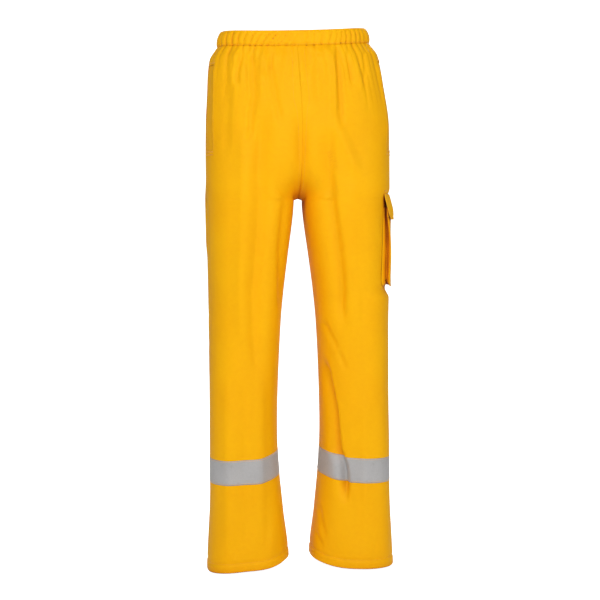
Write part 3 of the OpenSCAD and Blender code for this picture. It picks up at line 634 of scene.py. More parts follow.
class Nodes:
    """A small helper that wires one material."""

    def __init__(self, name):
        self.mat = bpy.data.materials.new(name)
        self.mat.use_nodes = True
        self.tree = self.mat.node_tree
        self.shader = self.tree.nodes["Principled BSDF"]
        self.uv = self.add("ShaderNodeUVMap", uv_map="cloth").outputs["UV"]

    def add(self, kind, **settings):
        node = self.tree.nodes.new(kind)
        for key, value in settings.items():
            setattr(node, key, value)
        return node

    def link(self, a, b):
        self.tree.links.new(a, b)

    def scaled(self, sx, sy, angle=0.0):
        m = self.add("ShaderNodeMapping")
        m.inputs["Scale"].default_value = (sx, sy, 1)
        m.inputs["Rotation"].default_value = (0, 0, math.radians(angle))
        self.link(self.uv, m.inputs["Vector"])
        return m.outputs["Vector"]

    def noise(self, scale, detail=3.0, rough=0.55, vector=None):
        n = self.add("ShaderNodeTexNoise")
        n.inputs["Scale"].default_value = scale
        n.inputs["Detail"].default_value = detail
        n.inputs["Roughness"].default_value = rough
        self.link(vector if vector is not None else self.uv, n.inputs["Vector"])
        return n.outputs["Fac"]

    def wave(self, scale, direction):
        n = self.add("ShaderNodeTexWave", wave_type="BANDS", bands_direction=direction)
        n.inputs["Scale"].default_value = scale
        self.link(self.uv, n.inputs["Vector"])
        return n.outputs["Fac"]

    def cells(self, scale):
        n = self.add("ShaderNodeTexVoronoi")
        n.inputs["Scale"].default_value = scale
        self.link(self.uv, n.inputs["Vector"])
        return n.outputs["Distance"]

    def math(self, kind, a, b):
        n = self.add("ShaderNodeMath", operation=kind)
        for slot, value in zip(n.inputs, (a, b)):
            if isinstance(value, (int, float)):
                slot.default_value = value
            else:
                self.link(value, slot)
        return n.outputs[0]

    def ramp(self, value, *stops):
        n = self.add("ShaderNodeValToRGB")
        ramp = n.color_ramp
        while len(ramp.elements) < len(stops):
            ramp.elements.new(0.5)
        for element, (place, colour) in zip(ramp.elements, stops):
            element.position = place
            element.color = (*colour, 1)
        self.link(value, n.inputs["Fac"])
        return n.outputs["Color"]

    def mix(self, share, a, b):
        n = self.add("ShaderNodeMix", data_type="RGBA")
        slots = [s for s in n.inputs if s.type == "RGBA"]
        self.link(share, n.inputs["Factor"])
        for slot, value in zip(slots, (a, b)):
            if isinstance(value, tuple):
                slot.default_value = (*value, 1)
            else:
                self.link(value, slot)
        return [s for s in n.outputs if s.type == "RGBA"][0]

    def bump(self, *heights):
        """Bumps one on another, each (height, strength, distance in metres)."""
        last = None
        for height, strength, distance in heights:
            n = self.add("ShaderNodeBump")
            n.inputs["Strength"].default_value = strength
            n.inputs["Distance"].default_value = distance
            self.link(height, n.inputs["Height"])
            if last is not None:
                self.link(last, n.inputs["Normal"])
            last = n.outputs["Normal"]
        self.link(last, self.shader.inputs["Normal"])

    def finish(self, colour, rough, sheen=0.0, sheen_tint=(1, 1, 1), specular=0.4, metallic=0.0, coat=0.0):
        s = self.shader
        self.link(colour, s.inputs["Base Color"])
        if isinstance(rough, float):
            s.inputs["Roughness"].default_value = rough
        else:
            self.link(rough, s.inputs["Roughness"])
        s.inputs["Sheen Weight"].default_value = sheen
        s.inputs["Sheen Roughness"].default_value = 0.45
        s.inputs["Sheen Tint"].default_value = (*sheen_tint, 1)
        s.inputs["Specular IOR Level"].default_value = specular
        s.inputs["Metallic"].default_value = metallic
        s.inputs["Coat Weight"].default_value = coat
        return self.mat


def shade_range(m, scale=9.0):
    """Broad and fine mottling between 0 and 1."""
    broad = m.math("MULTIPLY", m.noise(scale), 0.6)
    return m.math("ADD", broad, m.math("MULTIPLY", m.noise(scale * 14), 0.4))


def shell_material(name, bright, deep, worn):
    """Coated woven cloth with a fine plain weave and faint creases, and painted shade in its folds."""
    m = Nodes(name)
    tone = m.ramp(shade_range(m), (0.36, deep), (0.62, bright))
    scuffs = m.math("MULTIPLY", m.ramp(m.noise(26.0, 6.0, 0.7), (0.6, (0, 0, 0)), (0.74, (1, 1, 1))), 0.22)
    colour = m.mix(scuffs, tone, worn)
    # Painted shade: an ambient occlusion node turns the colour deeper orange in creases and folds, where
    # shade falls
    crease = m.add("ShaderNodeAmbientOcclusion", samples=8)
    crease.inputs["Distance"].default_value = 0.03
    share = m.math("MULTIPLY", m.ramp(crease.outputs["AO"], (0.30, (1, 1, 1)), (0.86, (0, 0, 0))), 0.85)
    colour = m.mix(share, colour, (0.70, 0.19, 0.004))
    # Painted shade at its darkest, red-brown, in the deepest folds such as the crotch
    deepest_painted_shade = m.ramp(crease.outputs["AO"], (0.14, (1, 1, 1)), (0.46, (0, 0, 0)))
    colour = m.mix(deepest_painted_shade, colour, (0.30, 0.06, 0.012))
    weave = m.math("MAXIMUM", m.wave(500.0, "X"), m.wave(500.0, "Y"))
    crumple = m.noise(1.0, 5.0, 0.6, m.scaled(34.0, 20.0, 12.0))
    m.bump((crumple, 0.24, 0.0018), (weave, 0.10, 0.0002))
    rough = m.math("ADD", m.math("MULTIPLY", m.noise(40.0), 0.16), 0.42)
    return m.finish(colour, rough, sheen=0.04, sheen_tint=(1.0, 0.6, 0.1), specular=0.06)


SHELL = shell_material("shell_fabric", (0.93, 0.458, 0.0030), (0.905, 0.418, 0.0025), (0.95, 0.52, 0.012))


def lining_material():
    m = Nodes("pocket_lining")
    tone = m.ramp(shade_range(m, 14.0), (0.35, (0.78, 0.35, 0.015)), (0.65, (0.88, 0.43, 0.022)))
    rib = m.math("MAXIMUM", m.wave(420.0, "X"), m.wave(420.0, "Y"))
    m.bump((m.noise(1.0, 5.0, 0.6, m.scaled(46.0, 30.0)), 0.35, 0.0014), (rib, 0.18, 0.0002))
    return m.finish(tone, 0.7, sheen=0.15, specular=0.2)


def reflective_material():
    """Grey glass-bead tape with a fine mesh and faint rubbed patches."""
    m = Nodes("reflective_tape")
    tone = m.ramp(shade_range(m, 18.0), (0.34, (0.385, 0.38, 0.38)), (0.66, (0.455, 0.45, 0.45)))
    rubbed = m.math("MULTIPLY", m.ramp(m.noise(60.0, 6.0, 0.7), (0.58, (0, 0, 0)), (0.75, (1, 1, 1))), 0.4)
    colour = m.mix(rubbed, tone, (0.27, 0.255, 0.24))
    crumple = m.noise(1.0, 4.0, 0.6, m.scaled(40.0, 26.0, 8.0))
    m.bump((crumple, 0.3, 0.0015), (m.cells(1400.0), 0.14, 0.0002))
    return m.finish(colour, 0.5, sheen=0.12, specular=0.45, metallic=0.12)


def thread_material():
    m = Nodes("thread")
    tone = m.ramp(m.noise(120.0), (0.35, (0.82, 0.36, 0.012)), (0.65, (0.95, 0.47, 0.02)))
    m.bump((m.wave(900.0, "DIAGONAL"), 0.5, 0.0002))
    return m.finish(tone, 0.55, sheen=0.2, specular=0.3)


def film_material():
    m = Nodes("seam_tape")
    tone = m.ramp(shade_range(m, 20.0), (0.35, (0.70, 0.58, 0.38)), (0.65, (0.80, 0.69, 0.47)))
    m.bump((m.noise(1.0, 4.0, 0.6, m.scaled(90.0, 20.0)), 0.25, 0.0008), (m.wave(380.0, "X"), 0.12, 0.0002))
    return m.finish(tone, 0.35, specular=0.5, coat=0.25)


def elastic_material():
    m = Nodes("elastic")
    tone = m.ramp(m.noise(60.0), (0.35, (0.70, 0.68, 0.63)), (0.65, (0.82, 0.80, 0.75)))
    m.bump((m.wave(160.0, "Y"), 0.5, 0.0005), (m.wave(300.0, "X"), 0.3, 0.0002))
    return m.finish(tone, 0.75, sheen=0.2, specular=0.2)


def fastener_material(name, scale, depth):
    m = Nodes(name)
    tone = m.ramp(m.noise(220.0), (0.35, (0.72, 0.31, 0.012)), (0.65, (0.86, 0.40, 0.02)))
    m.bump((m.cells(scale), 0.7, depth))
    return m.finish(tone, 0.85, sheen=0.4, sheen_tint=(1.0, 0.8, 0.5), specular=0.15)


LINING = lining_material()
REFLECTIVE = reflective_material()
THREAD = thread_material()
FILM = film_material()
ELASTIC = elastic_material()
HOOK = fastener_material("hook_side", 900.0, 0.0006)
LOOP = fastener_material("loop_side", 620.0, 0.0009)


def dress(obj, material, slot_name, body, *nodes):
    """Gives a piece its finish and its body, and hides the CAD nodes it stands for."""
    obj.data.materials.append(material)
    if body is not None:
        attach(obj, body)
    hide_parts(*nodes)
    return obj


FINE = 1


def steps(a, b, pitch):
    """Even values from a to b, about a pitch apart, ends included."""
    n = max(1, int(round(abs(b - a) / (pitch * FINE))))
    return np.linspace(a, b, n + 1)


def join_steps(*parts):
    """Runs of values end to end, without repeats."""
    values = [parts[0]]
    for part in parts[1:]:
        values.append(part[1:])
    return np.concatenate(values)


# ---- Shell panels --------------------------------------------------------------------------------

PANEL_V = join_steps(steps(0, MOUTH_V, 0.0125), steps(MOUTH_V, 0.95, 0.0125),
                     np.array([0.95, 0.9605, 0.9695, 0.977, 0.9835, 0.989, 0.9935, 0.997, 1.0]))
PANEL_Z = join_steps(
    steps(-30, MOUTH_TOP, 2.6), steps(MOUTH_TOP, -140, 2.8), steps(-140, MOUTH_LOW, 3.4),
    steps(MOUTH_LOW, CROTCH, 3.4), steps(CROTCH, TAPE_TOP, 3.6), steps(TAPE_TOP, TAPE_LOW, 3.4),
    steps(TAPE_LOW, HEM_TOP, 3.4), steps(HEM_TOP, -LENGTH + 2.2, 2.6),
)


def panel(name, side, face):
    pairs = [((0, z), (-CLOTH, z)) for z in PANEL_Z]
    pairs += [
        ((-0.2, -LENGTH + 1.0), (-CLOTH, -LENGTH + 1.4)),
        ((-0.85, -LENGTH), (-0.86, -LENGTH + 0.9)),
        ((-1.5, -LENGTH + 1.0), (PLY, -LENGTH + 1.4)),
        ((2 * PLY, -LENGTH + 2.2), (PLY, -LENGTH + 2.2)),
    ]
    pairs += [((2 * PLY, z), (PLY, z)) for z in steps(-LENGTH + 5, HEM_TOP - 2, 3.2)]
    cols = columns((side, face, PANEL_V))
    hole = None
    if face == FRONT:
        z = np.array([p[0][1] for p in pairs])
        middle = (z[:-1] + z[1:]) / 2
        # The turned-up rows lie below the mouth, so a plain test of height will do
        in_mouth = (middle < MOUTH_TOP) & (middle > MOUTH_LOW)
        hole = in_mouth[:, None] & (PANEL_V[1:] <= MOUTH_V + 1e-6)[None]
    return folded(name, cols, pairs, lift=mouth_lift, hole=hole)


for panel_name, panel_side, panel_face in (
    ("right_front_panel", RIGHT, FRONT), ("left_front_panel", LEFT, FRONT),
    ("right_back_panel", RIGHT, BACK), ("left_back_panel", LEFT, BACK),
):
    piece = panel("cloth_" + panel_name, panel_side, panel_face)
    dress(piece, SHELL, "shell_fabric", "trousers", panel_name)

# ---- Waistband -----------------------------------------------------------------------------------

BAND_V = steps(0, 1, 0.0085)


def waist_columns():
    v = BAND_V
    front = ((LEFT, FRONT, v), (RIGHT, FRONT, v[::-1][1:]))
    return columns(*front, (RIGHT, BACK, v[1:]), (LEFT, BACK, v[::-1][1:-1]))


def band_pairs():
    pairs = [((0, z), (-CLOTH, z)) for z in steps(-30.5, -4.5, 2.0)]
    middle, half, top = -TUNNEL / 2, TUNNEL / 2, 2.9
    for angle in np.radians(np.linspace(0, 180, 9)):
        c, s = math.cos(angle), math.sin(angle)
        outer = (middle + half * c, -top + top * s)
        pairs.append((outer, (middle + (half - CLOTH) * c, -top + (top - CLOTH) * s)))
    pairs += [((-TUNNEL, z), (-TUNNEL + CLOTH, z)) for z in steps(-4.5, -30.5, 3.0)]
    return pairs


casing = dress(
    folded("cloth_waistband", waist_columns(), band_pairs(), wraps=True),
    SHELL, "shell_fabric", "trousers", "waistband_casing",
)
elastic_z = steps(-3.2, -26.8, 2.4)
elastic_n, elastic_half = -TUNNEL / 2, 0.7
elastic = layer("waist_elastic_rib", waist_columns(), elastic_z, elastic_n + elastic_half,
                elastic_n - elastic_half, wraps=True)
dress(elastic, ELASTIC, "elastic", "trousers", "waist_elastic")


def ring_way(cols, z, n):
    """A closed way round the cloth at one height."""
    side, face, v = (np.append(q, q[0]) for q in cols)
    return on_cloth(side, face, v, z, n)


dress(
    stitches("waistband_thread", [ring_way(waist_columns(), -28.0, 0.0)], length=2.6),
    THREAD, "thread", "trousers", "waistband_stitching",
)

# ---- Seam tapes ----------------------------------------------------------------------------------

tape_in = PLY - 0.3
UPPER_Z = PANEL_Z[(PANEL_Z >= CROTCH + 12) & (PANEL_Z < -38)]
LEG_Z = PANEL_Z[(PANEL_Z <= CROTCH - 6) & (PANEL_Z >= HEM_TOP + 1)]
near_edge = np.linspace(0, TAPE_SHARE, 5)
SEAM_WORDS = {RIGHT: "right", LEFT: "left"}


def seam_tape(name, side, shares, heights, depth):
    """A tape over one leg's seam, as wide on the front panel as on the back one."""
    cols = columns((side, FRONT, shares[::-1]), (side, BACK, shares[1:]))
    tape = layer("film_" + name, cols, heights, depth, depth - 0.3)
    dress(tape, FILM, "seam_tape", "trousers", name)


outseam_z = PANEL_Z[PANEL_Z >= HEM_TOP + 1]
# It passes inside the pocket facing
behind = ease((MOUTH_TOP + 30 - outseam_z) / 12) * ease((outseam_z - MOUTH_LOW + 30) / 12)
for tape_side in (RIGHT, LEFT):
    tape_name = SEAM_WORDS[tape_side] + "_outseam_tape"
    seam_tape(tape_name, tape_side, near_edge, outseam_z, tape_in + PLY * behind)
for tape_side in (RIGHT, LEFT):
    seam_tape(SEAM_WORDS[tape_side] + "_inseam_tape", tape_side, 1 - near_edge, LEG_Z, tape_in)


def centre_tape():
    """Front and back runs of the centre seam's tape, as one piece."""
    pieces = []
    for face in (FRONT, BACK):
        cols = columns((LEFT, face, 1 - near_edge[::-1]), (RIGHT, face, 1 - near_edge[1:]))
        pieces.append(layer("film_centre", cols, UPPER_Z, tape_in - 1.2, tape_in - 1.5))
    return joined("film_centre_seam_tape", pieces)


def joined(name, objects):
    """Several meshes as one, with their cloth maps."""
    points, faces, uvs, first = [], [], [], 0
    for obj in objects:
        mesh = obj.data
        co = np.zeros(len(mesh.vertices) * 3, np.float32)
        mesh.vertices.foreach_get("co", co)
        co = co.reshape(-1, 3)
        index = np.zeros(len(mesh.loops), np.int32)
        mesh.loops.foreach_get("vertex_index", index)
        uv = np.zeros(len(mesh.loops) * 2, np.float32)
        mesh.uv_layers["cloth"].data.foreach_get("uv", uv)
        per_vertex = np.zeros((len(co), 2))
        per_vertex[index] = uv.reshape(-1, 2)
        points.append(co / MM)
        uvs.append(per_vertex)
        faces += [tuple(i + first for i in p.vertices) for p in mesh.polygons]
        first += len(co)
        bpy.data.objects.remove(obj)
        bpy.data.meshes.remove(mesh)
    return make(name, np.concatenate(points), faces, np.concatenate(uvs))


centre_film = dress(centre_tape(), FILM, "seam_tape", "trousers", "centre_seam_tape")

# ---- Rows of stitches ----------------------------------------------------------------------------

LEG_V = steps(0, 1, 0.0125)


def leg_columns(side):
    v = LEG_V
    return columns((side, FRONT, v), (side, BACK, v[::-1][1:-1]))


centre_rows = []
for thread_side in (RIGHT, LEFT):
    for thread_face in (FRONT, BACK):
        centre_rows.append(on_cloth(thread_side, thread_face, CENTRE_ROW_V, UPPER_Z, 0.0))
dress(stitches("centre_thread", centre_rows), THREAD, "thread", "trousers", "centre_topstitching")
hem_rows = [ring_way(leg_columns(s), HEM_TOP, 0.0) for s in (RIGHT, LEFT)]
dress(stitches("hem_thread", hem_rows), THREAD, "thread", "trousers", "hem_stitching")

# ---- Reflective bands ----------------------------------------------------------------------------

for band_name, band_side in (("right_reflective_tape", RIGHT), ("left_reflective_tape", LEFT)):
    v = LEG_V.copy()
    v[-1] = 0.998
    cols = columns((band_side, BACK, v[::-1]), (band_side, FRONT, v[1:]))
    piece = layer("band_" + band_name, cols, steps(TAPE_TOP, TAPE_LOW, 2.6), 0.5, 0.06)
    dress(piece, REFLECTIVE, "reflective_tape", "trousers", band_name)
tape_rows = [
    ring_way(leg_columns(s), z, 0.5) for s in (RIGHT, LEFT) for z in (TAPE_TOP - 2.5, TAPE_LOW + 2.5)
]
dress(stitches("tape_thread", tape_rows), THREAD, "thread", "trousers", "tape_stitching")

# ---- Side pockets --------------------------------------------------------------------------------

FACING_Z = join_steps(steps(MOUTH_TOP + 11, MOUTH_TOP, 2.8), steps(MOUTH_TOP, MOUTH_LOW, 3.2),
                      steps(MOUTH_LOW, MOUTH_LOW - 12, 3.0))


def pocket_facing(name, side):
    v = steps(0, MOUTH_V + TAPE_SHARE, 0.0125)
    cols = columns((side, BACK, np.linspace(TAPE_SHARE, 0, 5)), (side, FRONT, v[1:]))
    return layer(name, cols, FACING_Z, PLY, PLY - CLOTH)


def pocket_bag(name, side):
    """Two layers of lining, joined by a fold at their far edge."""
    thick = 0.4
    front_n = 2 * PLY - 1.2
    back_n = front_n - 3 * thick
    middle = (front_n + back_n) / 2
    v = steps(MOUTH_V + 0.01, 0.7, 0.016)
    turn = [(0.704, front_n - 0.1, 0.7015), (0.7055, middle, 0.7025), (0.704, back_n + 0.1, 0.7015)]
    outside = [(q, front_n) for q in v] + [(a, n) for a, n, b in turn] + [(q, back_n) for q in v[::-1]]
    hollow = [(q, front_n - thick) for q in v]
    hollow += [(b, min(max(n, back_n + thick), front_n - thick)) for a, n, b in turn]
    hollow += [(q, back_n + thick) for q in v[::-1]]
    z = join_steps(steps(-31, MOUTH_TOP, 5.0), steps(MOUTH_TOP, MOUTH_LOW - 34, 5.0))[:, None]
    grids = []
    for track in (outside, hollow):
        q = np.array(track)
        p, n = cloth(side, FRONT, q[:, 0][None], z)
        grids.append(p + n * q[:, 1][None, :, None])
    return thin(name, grids[0], grids[1])


for word, pocket_side in (("right", RIGHT), ("left", LEFT)):
    piece = pocket_facing("cloth_" + word + "_pocket_facing", pocket_side)
    dress(piece, SHELL, "shell_fabric", "trousers", word + "_pocket_facing")
    piece = pocket_bag("lining_" + word + "_pocket_bag", pocket_side)
    dress(piece, LINING, "pocket_lining", "trousers", word + "_pocket_bag")
mouth_rows = [
    on_cloth(s, FRONT, MOUTH_V + 0.028, steps(MOUTH_TOP - 1, MOUTH_LOW + 1, 3.0), 0.0, mouth_lift)
    for s in (RIGHT, LEFT)
]
dress(stitches("pocket_thread", mouth_rows), THREAD, "thread", "trousers", "side_pocket_stitching")
tack_rows = []
for tack_side in (RIGHT, LEFT):
    for tack_z in (MOUTH_TOP + 4, MOUTH_LOW - 4, MOUTH_LOW - 10):
        for k in np.linspace(-1, 1, 5):
            v = np.linspace(0.02, MOUTH_V + 0.01, 24)
            tack_rows.append(on_cloth(tack_side, FRONT, v, tack_z + k, 0.05, mouth_lift))
dress(stitches("pocket_tacks", tack_rows, **TACK),
      THREAD, "thread", "trousers", "side_pocket_bartacks")

# ---- Cargo pocket --------------------------------------------------------------------------------


def leg_x(y, z):
    """Where the left leg's outer side is."""
    y, z = np.broadcast_arrays(np.asarray(y, float), np.asarray(z, float))
    mid, half, last = outline(np.ones(z.shape), z)
    e = ROUND - (ROUND - FLAT_SIDE) * pressed(np.ones(z.shape), z)
    depth = np.where(y < 0, curve(FRONTS, z), curve(BACKS, z))
    return mid + half * np.clip(1 - (np.abs(y) / depth) ** (2 / e), 0, 1) ** (e / 2)


def pocket_x(y, z=-440.0):
    """The pocket's outer panel, drawn in towards the leg at the mouth's ends and full lower down."""
    closed = ease((z - POCKET_TOP + 60) / 50) * ease((np.abs(y) - 36) / 40)
    full = bell((z + 450) / 45) * ease((np.abs(y) - 30) / 40)
    return POCKET_X - POCKET_R + np.sqrt(POCKET_R**2 - y * y) - 2.8 * closed + 2.2 * full


def pocket_wave(y, z):
    """Soft hollows of the pocket's outer panel, none at its edges."""
    inside = ease((POCKET_HALF - np.abs(y)) / 22) * ease((z - POCKET_LOW) / 22) * ease((POCKET_TOP - z) / 8)
    hills = 1.1 * np.sin(y / 19 + z / 47) * np.sin(z / 31 + 0.8)
    crease = 0.9 * bell((y - 0.5 * (z + 440) - 10) / 11)
    return inside * (hills - crease - 0.6)


def pocket_face(y, z):
    """The outer panel's face, pinched a little where its edge is stitched."""
    pinch = bell((np.abs(y) - POCKET_HALF + 5) / 2.2) + bell((z - POCKET_LOW - 5) / 2.2)
    return pocket_x(y, z) + pocket_wave(y, z) - 0.5 * pinch


pocket_z = steps(POCKET_LOW, POCKET_TOP - 1.5, 2.6)
pocket_pairs = [((0, z), (-CLOTH, z)) for z in pocket_z]
pocket_pairs += [((-0.9, POCKET_TOP), (-0.92, POCKET_TOP - 0.9))]
pocket_pairs += [((2 * PLY, z), (PLY, z)) for z in steps(POCKET_TOP - 1.5, POCKET_TOP - 20, 2.6)]
pocket_y = steps(-POCKET_HALF, POCKET_HALF, 2.4)


def pocket_grid(k):
    z = np.array([p[k][1] for p in pocket_pairs])[:, None]
    n = np.array([p[k][0] for p in pocket_pairs])[:, None]
    y = pocket_y[None, :]
    x = pocket_face(y, z) + n
    yy, zz = np.broadcast_arrays(y, z)
    cut = ease((np.abs(yy) - POCKET_HALF + 9) / 9) * ease((POCKET_LOW + 9 - zz) / 9)
    return np.stack([x, yy - np.sign(yy) * 2.6 * cut, zz + 2.6 * cut], -1)


pocket_front = dress(
    thin("cloth_cargo_pocket", pocket_grid(0), pocket_grid(1)),
    SHELL, "shell_fabric", "cargo_pocket", "cargo_pocket_front",
)


def gusset():
    """The bellows round the pocket's two sides and bottom, folded in along its middle."""
    corner = 9.0
    half = POCKET_HALF
    down = steps(POCKET_TOP, POCKET_LOW + corner, 3.4)
    way = [(-half, z, 1.0, 0.0) for z in down]
    arc = np.radians(np.linspace(0, 90, 6)[1:-1])
    for a in arc:
        c, s = math.cos(a), math.sin(a)
        way.append((-half + corner * (1 - c), POCKET_LOW + corner * (1 - s), c, s))
    for y in steps(corner - half, half - corner, 3.4):
        way.append((y, POCKET_LOW, 0.0, 1.0))
    for a in arc[::-1]:
        c, s = math.cos(a), math.sin(a)
        way.append((half - corner * (1 - c), POCKET_LOW + corner * (1 - s), -c, s))
    way += [(half, z, -1.0, 0.0) for z in down[::-1]]
    way = np.array(way)
    share = np.linspace(0, 1, 13)
    depth = PLEAT * (1 - np.abs(2 * share - 1) ** 1.25)
    wobble = 0.6 * np.sin(np.arange(len(way)) * 0.42)[None, :] * np.sin(np.pi * share)[:, None]
    grids = []
    for more in (0.0, 1.0):
        d = depth[:, None] + more + wobble
        y = way[None, :, 0] + way[None, :, 2] * d
        z = way[None, :, 1] + way[None, :, 3] * d
        near = leg_x(y, z) + 0.6
        far = pocket_x(way[None, :, 0] + 0 * z, way[None, :, 1] + 0 * z)
        far = far - CLOTH - 0.05 - CLOTH * 1.3 * ease((way[None, :, 1] - POCKET_TOP + 25) / 5)
        grids.append(np.stack([near + (far - near) * share[:, None], y, z], -1))
    return thin("lining_cargo_gusset", grids[0], grids[1])


bellows = gusset()
dress(bellows, SHELL, "shell_fabric", None, "cargo_pocket_gusset")
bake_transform(bellows)


def pocket_way(y, z, n):
    y, z = np.broadcast_arrays(np.asarray(y, float), np.asarray(z, float))
    normal = np.stack([np.sqrt(POCKET_R**2 - y * y), y, 0 * y], -1) / POCKET_R
    return np.stack([pocket_face(y, z) + n, y, z], -1), normal


reach = POCKET_HALF - 5
run_z = steps(POCKET_TOP - 4, POCKET_LOW + 6, 3.0)
run_y = steps(-reach + 1, reach - 1, 3.0)
pocket_rows = [
    pocket_way(-reach, run_z, 0.05), pocket_way(run_y, POCKET_LOW + 5, 0.05),
    pocket_way(reach, run_z, 0.05),
    pocket_way(steps(-POCKET_HALF + 4, POCKET_HALF - 4, 3.0), POCKET_TOP - 18, 0.05),
]
pocket_thread = stitches("cargo_pocket_thread", pocket_rows)
dress(pocket_thread, THREAD, "thread", "cargo_pocket", "cargo_pocket_stitching")

FASTENER_HALF = high("cargo_loop_tape")[1]
FASTENER_LOW, FASTENER_TOP = low("cargo_loop_tape")[2], high("cargo_loop_tape")[2]
fast_y = steps(-FASTENER_HALF, FASTENER_HALF, 1.6)[None, :]
fast_z = steps(FASTENER_TOP, FASTENER_LOW, 1.6)[:, None]
pile = 0.12 * rng.standard_normal((fast_z.shape[0], fast_y.shape[1]))
loop_in = np.stack(np.broadcast_arrays(pocket_x(fast_y, fast_z) + 0.1 + 0 * fast_z, fast_y, fast_z), -1)
loop_out = loop_in.copy()
loop_out[..., 0] += 0.75 + pile
loop_in[..., 0] += np.minimum(0, pocket_wave(fast_y, fast_z))
loop_tape = thin("loop_tape_pile", loop_out, loop_in)
dress(loop_tape, LOOP, "touch_fastener", "cargo_pocket", "cargo_loop_tape")

# ---- Cargo flap ----------------------------------------------------------------------------------

# How far the flap has come out from the leg, as (drop below its seam, share)
PROFILE = np.array([(0.6, 0.04), (5, 0.2), (12, 0.43), (20, 0.67), (27, 0.86), (32, 0.96), (40, 1),
                    (FLAP_H, 1)])


def flap_point(y, drop, n):
    """The flap's outer face, n outside it, at a depth and a drop below its seam."""
    y, drop = np.broadcast_arrays(np.asarray(y, float), np.asarray(drop, float))
    out = np.interp(drop, PROFILE[:, 0], PROFILE[:, 1])
    ends = ease((np.abs(y) - 46) / 30)
    out = out * (1 - ends) + (drop / FLAP_H) ** 1.1 * ends
    root = leg_x(y, FLAP_TOP) + 2 * FLAP_T + 0.8
    hanging = FLAP_X - FLAP_R + np.sqrt(FLAP_R**2 - y * y) - 5.5 * ease((np.abs(y) - 55) / 26)
    wave = 0.7 * np.sin(y / 17 + 0.5) * ease((drop - 8) / 16) * ease((FLAP_HALF - np.abs(y)) / 20)
    wave = wave * (1 - bell(drop - FLAP_H + 12)) * np.where(drop > 32, 0.6, 1.0)
    pinch = -0.35 * bell((np.abs(y) - FLAP_HALF + 6) / 1.8) - 0.35 * bell((drop - FLAP_H + 6) / 1.8)
    x = root + (hanging - root) * out + n + wave * 0.5 + pinch
    corner = ease((np.abs(y) - FLAP_HALF + 12) / 12) * ease((drop - FLAP_H + 12) / 12)
    return np.stack([x, y - np.sign(y) * 3.5 * corner, FLAP_TOP - drop + 3.5 * corner], -1)


flap_y = steps(-FLAP_HALF, FLAP_HALF, 2.2)[None, :]
flap_drop = join_steps(steps(0.6, 12, 1.4), steps(12, FLAP_H, 2.0))[:, None]


def flap_layer(name, outside, inside):
    return thin(name, flap_point(flap_y, flap_drop, outside), flap_point(flap_y, flap_drop, inside))


def swing(obj):
    """Sewn to the leg along its top, the flap keeps its place: its transform is baked into its mesh."""
    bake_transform(obj)


flap = dress(flap_layer("cloth_cargo_flap", 0.0, -FLAP_T), SHELL, "shell_fabric", None, "cargo_flap")
swing(flap)
flap_back = flap_layer("lining_cargo_flap", -FLAP_T - 0.04, -2 * FLAP_T)
dress(flap_back, LINING, "pocket_lining", None, "cargo_flap_lining")
swing(flap_back)


def flap_way(y, drop):
    p = flap_point(y, drop, 0.05)
    return p, np.broadcast_to([1.0, 0.0, 0.0], p.shape).copy()


flap_reach = FLAP_HALF - 6
drops = steps(2.0, FLAP_H - 7, 2.6)
flap_rows = [
    flap_way(-flap_reach, drops), flap_way(flap_reach, drops),
    flap_way(steps(-flap_reach + 1, flap_reach - 1, 3.0), FLAP_H - 6),
]
flap_thread = stitches("cargo_flap_thread", flap_rows)
dress(flap_thread, THREAD, "thread", None, "cargo_flap_stitching")
swing(flap_thread)
hook_drop = FLAP_TOP - fast_z
hook_out = flap_point(fast_y, hook_drop, -2 * FLAP_T - 0.05)
hook_in = flap_point(fast_y, hook_drop, -2 * FLAP_T - 0.85)
hook_in[..., 0] += pile * 0.8
hook_tape = thin("hook_tape_pile", hook_out, hook_in)
dress(hook_tape, HOOK, "touch_fastener", "cargo_flap", "cargo_hook_tape")


def leg_tack_rows():
    rows = []
    for y0, z0 in (
        (-FLAP_HALF, FLAP_TOP + 6), (FLAP_HALF - 9, FLAP_TOP + 6),
        (-POCKET_HALF, POCKET_LOW - 5), (POCKET_HALF - 9, POCKET_LOW - 5),
    ):
        for k in np.linspace(-1, 1, 5):
            y = np.linspace(y0, y0 + 9, 6)
            x = leg_x(y, z0 + k) + 0.3
            p = np.stack([x, y, np.full(6, z0 + k)], -1)
            rows.append((p, np.broadcast_to([1.0, 0, 0], p.shape).copy()))
    return rows


dress(stitches("cargo_tacks", leg_tack_rows(), **TACK),
      THREAD, "thread", "trousers", "cargo_bartacks")

# ---- Stage, light and camera ---------------------------------------------------------------------


def backdrop():
    """A pale floor that curves up into a wall."""
    reach, back, rise, bend = 9.0, 4.2, 7.0, 1.4
    floor_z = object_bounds()[0][2] - 0.002
    line = [(-6.0, floor_z), (back - bend, floor_z)]
    for a in np.radians(np.linspace(0, 90, 19)[1:]):
        line.append((back - bend + bend * math.sin(a), floor_z + bend * (1 - math.cos(a))))
    line.append((back, floor_z + rise))
    points, faces = [], []
    for y, z in line:
        points += [(-reach / MM, y / MM, z / MM), (reach / MM, y / MM, z / MM)]
    for k in range(len(line) - 1):
        faces.append((2 * k, 2 * k + 1, 2 * k + 3, 2 * k + 2))
    obj = make("backdrop", np.array(points), faces)
    mat = bpy.data.materials.new("backdrop_paint")
    mat.use_nodes = True
    shader = mat.node_tree.nodes["Principled BSDF"]
    shader.inputs["Base Color"].default_value = (0.86, 0.86, 0.86, 1)
    shader.inputs["Roughness"].default_value = 0.9
    shader.inputs["Specular IOR Level"].default_value = 0.0
    shader.inputs["Emission Color"].default_value = (1, 1, 1, 1)
    seen = mat.node_tree.nodes.new("ShaderNodeLightPath").outputs["Is Camera Ray"]
    mat.node_tree.links.new(seen, shader.inputs["Emission Strength"])
    obj.data.materials.append(mat)
    obj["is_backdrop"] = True


backdrop()

scene = bpy.context.scene
world = bpy.data.worlds.new("studio")
world.use_nodes = True
world.node_tree.nodes["Background"].inputs["Color"].default_value = (1, 1, 1, 1)
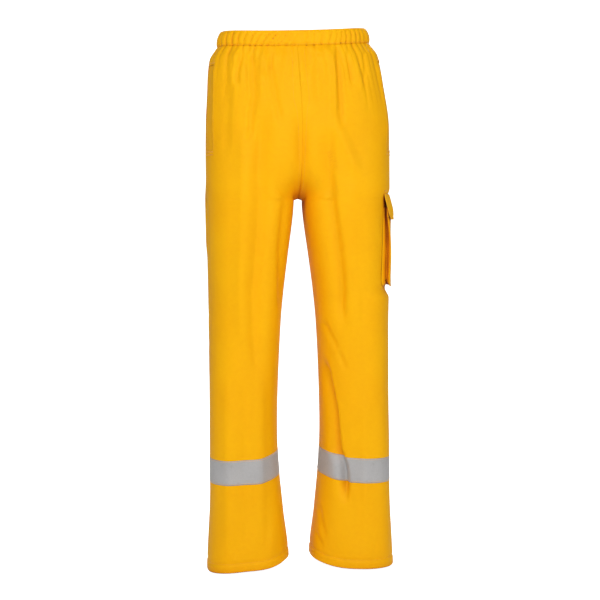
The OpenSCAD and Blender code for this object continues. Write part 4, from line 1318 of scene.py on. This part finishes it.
# Plain white where the camera sees it, and a soft fill for the cloth
world_seen = world.node_tree.nodes.new("ShaderNodeLightPath").outputs["Is Camera Ray"]
world_share = world.node_tree.nodes.new("ShaderNodeMath")
world_share.operation = "MULTIPLY_ADD"
world_share.inputs[1].default_value = 0.76
world_share.inputs[2].default_value = 0.24
world.node_tree.links.new(world_seen, world_share.inputs[0])
world.node_tree.links.new(world_share.outputs[0], world.node_tree.nodes["Background"].inputs["Strength"])
scene.world = world


def lamp(name, place, width, height, watts):
    """An oblong lamp aimed at the middle of the trousers."""
    data = bpy.data.lights.new(name, "AREA")
    data.shape = "RECTANGLE"
    data.size, data.size_y = width, height
    data.energy = watts
    obj = bpy.data.objects.new(name, data)
    obj.location = place
    ahead = Vector((0, 0, cad_lo[2] / 2)) - Vector(place)
    obj.rotation_euler = ahead.to_track_quat("-Z", "Y").to_euler()
    scene.collection.objects.link(obj)


lamp("key", (-1.3, -2.5, 1.1), 0.9, 1.1, 32)
lamp("front", (0.3, -3.2, 0.3), 1.0, 0.7, 29)
lamp("left_side", (-2.9, -1.2, 0.4), 1.0, 1.8, 8)
lamp("right_side", (2.4, -2.1, 0.5), 1.0, 1.8, 20)
lamp("behind", (0.6, 2.4, 1.2), 2.0, 1.6, 44)

DISTANCE, YAW, PITCH, ROLL = 3.303, -4.99, 2.95, -0.29
EYE_Z = -0.385
AIM = 0.067


def place_camera():
    yaw, pitch, roll, aim = (math.radians(a) for a in (YAW, PITCH, ROLL, AIM))
    eye = Vector((math.sin(yaw) * DISTANCE, -math.cos(yaw) * DISTANCE, EYE_Z))
    ahead = Vector((-math.sin(yaw) * math.cos(pitch), math.cos(yaw) * math.cos(pitch), -math.sin(pitch)))
    ahead = Matrix.Rotation(-aim, 3, "Z") @ ahead
    right = ahead.cross(Vector((0, 0, 1))).normalized()
    up = right.cross(ahead)
    right, up = (right * math.cos(roll) + up * math.sin(roll), up * math.cos(roll) - right * math.sin(roll))
    data = bpy.data.cameras.new("camera")
    data.sensor_width = 36.0
    data.lens = 96.0
    data.clip_end = 60.0
    obj = bpy.data.objects.new("camera", data)
    turn = Matrix((right, up, -ahead)).transposed()
    obj.matrix_world = Matrix.Translation(eye) @ turn.to_4x4()
    scene.collection.objects.link(obj)
    scene.camera = obj


place_camera()
scene.view_settings.view_transform = "Standard"
scene.view_settings.look = "None"
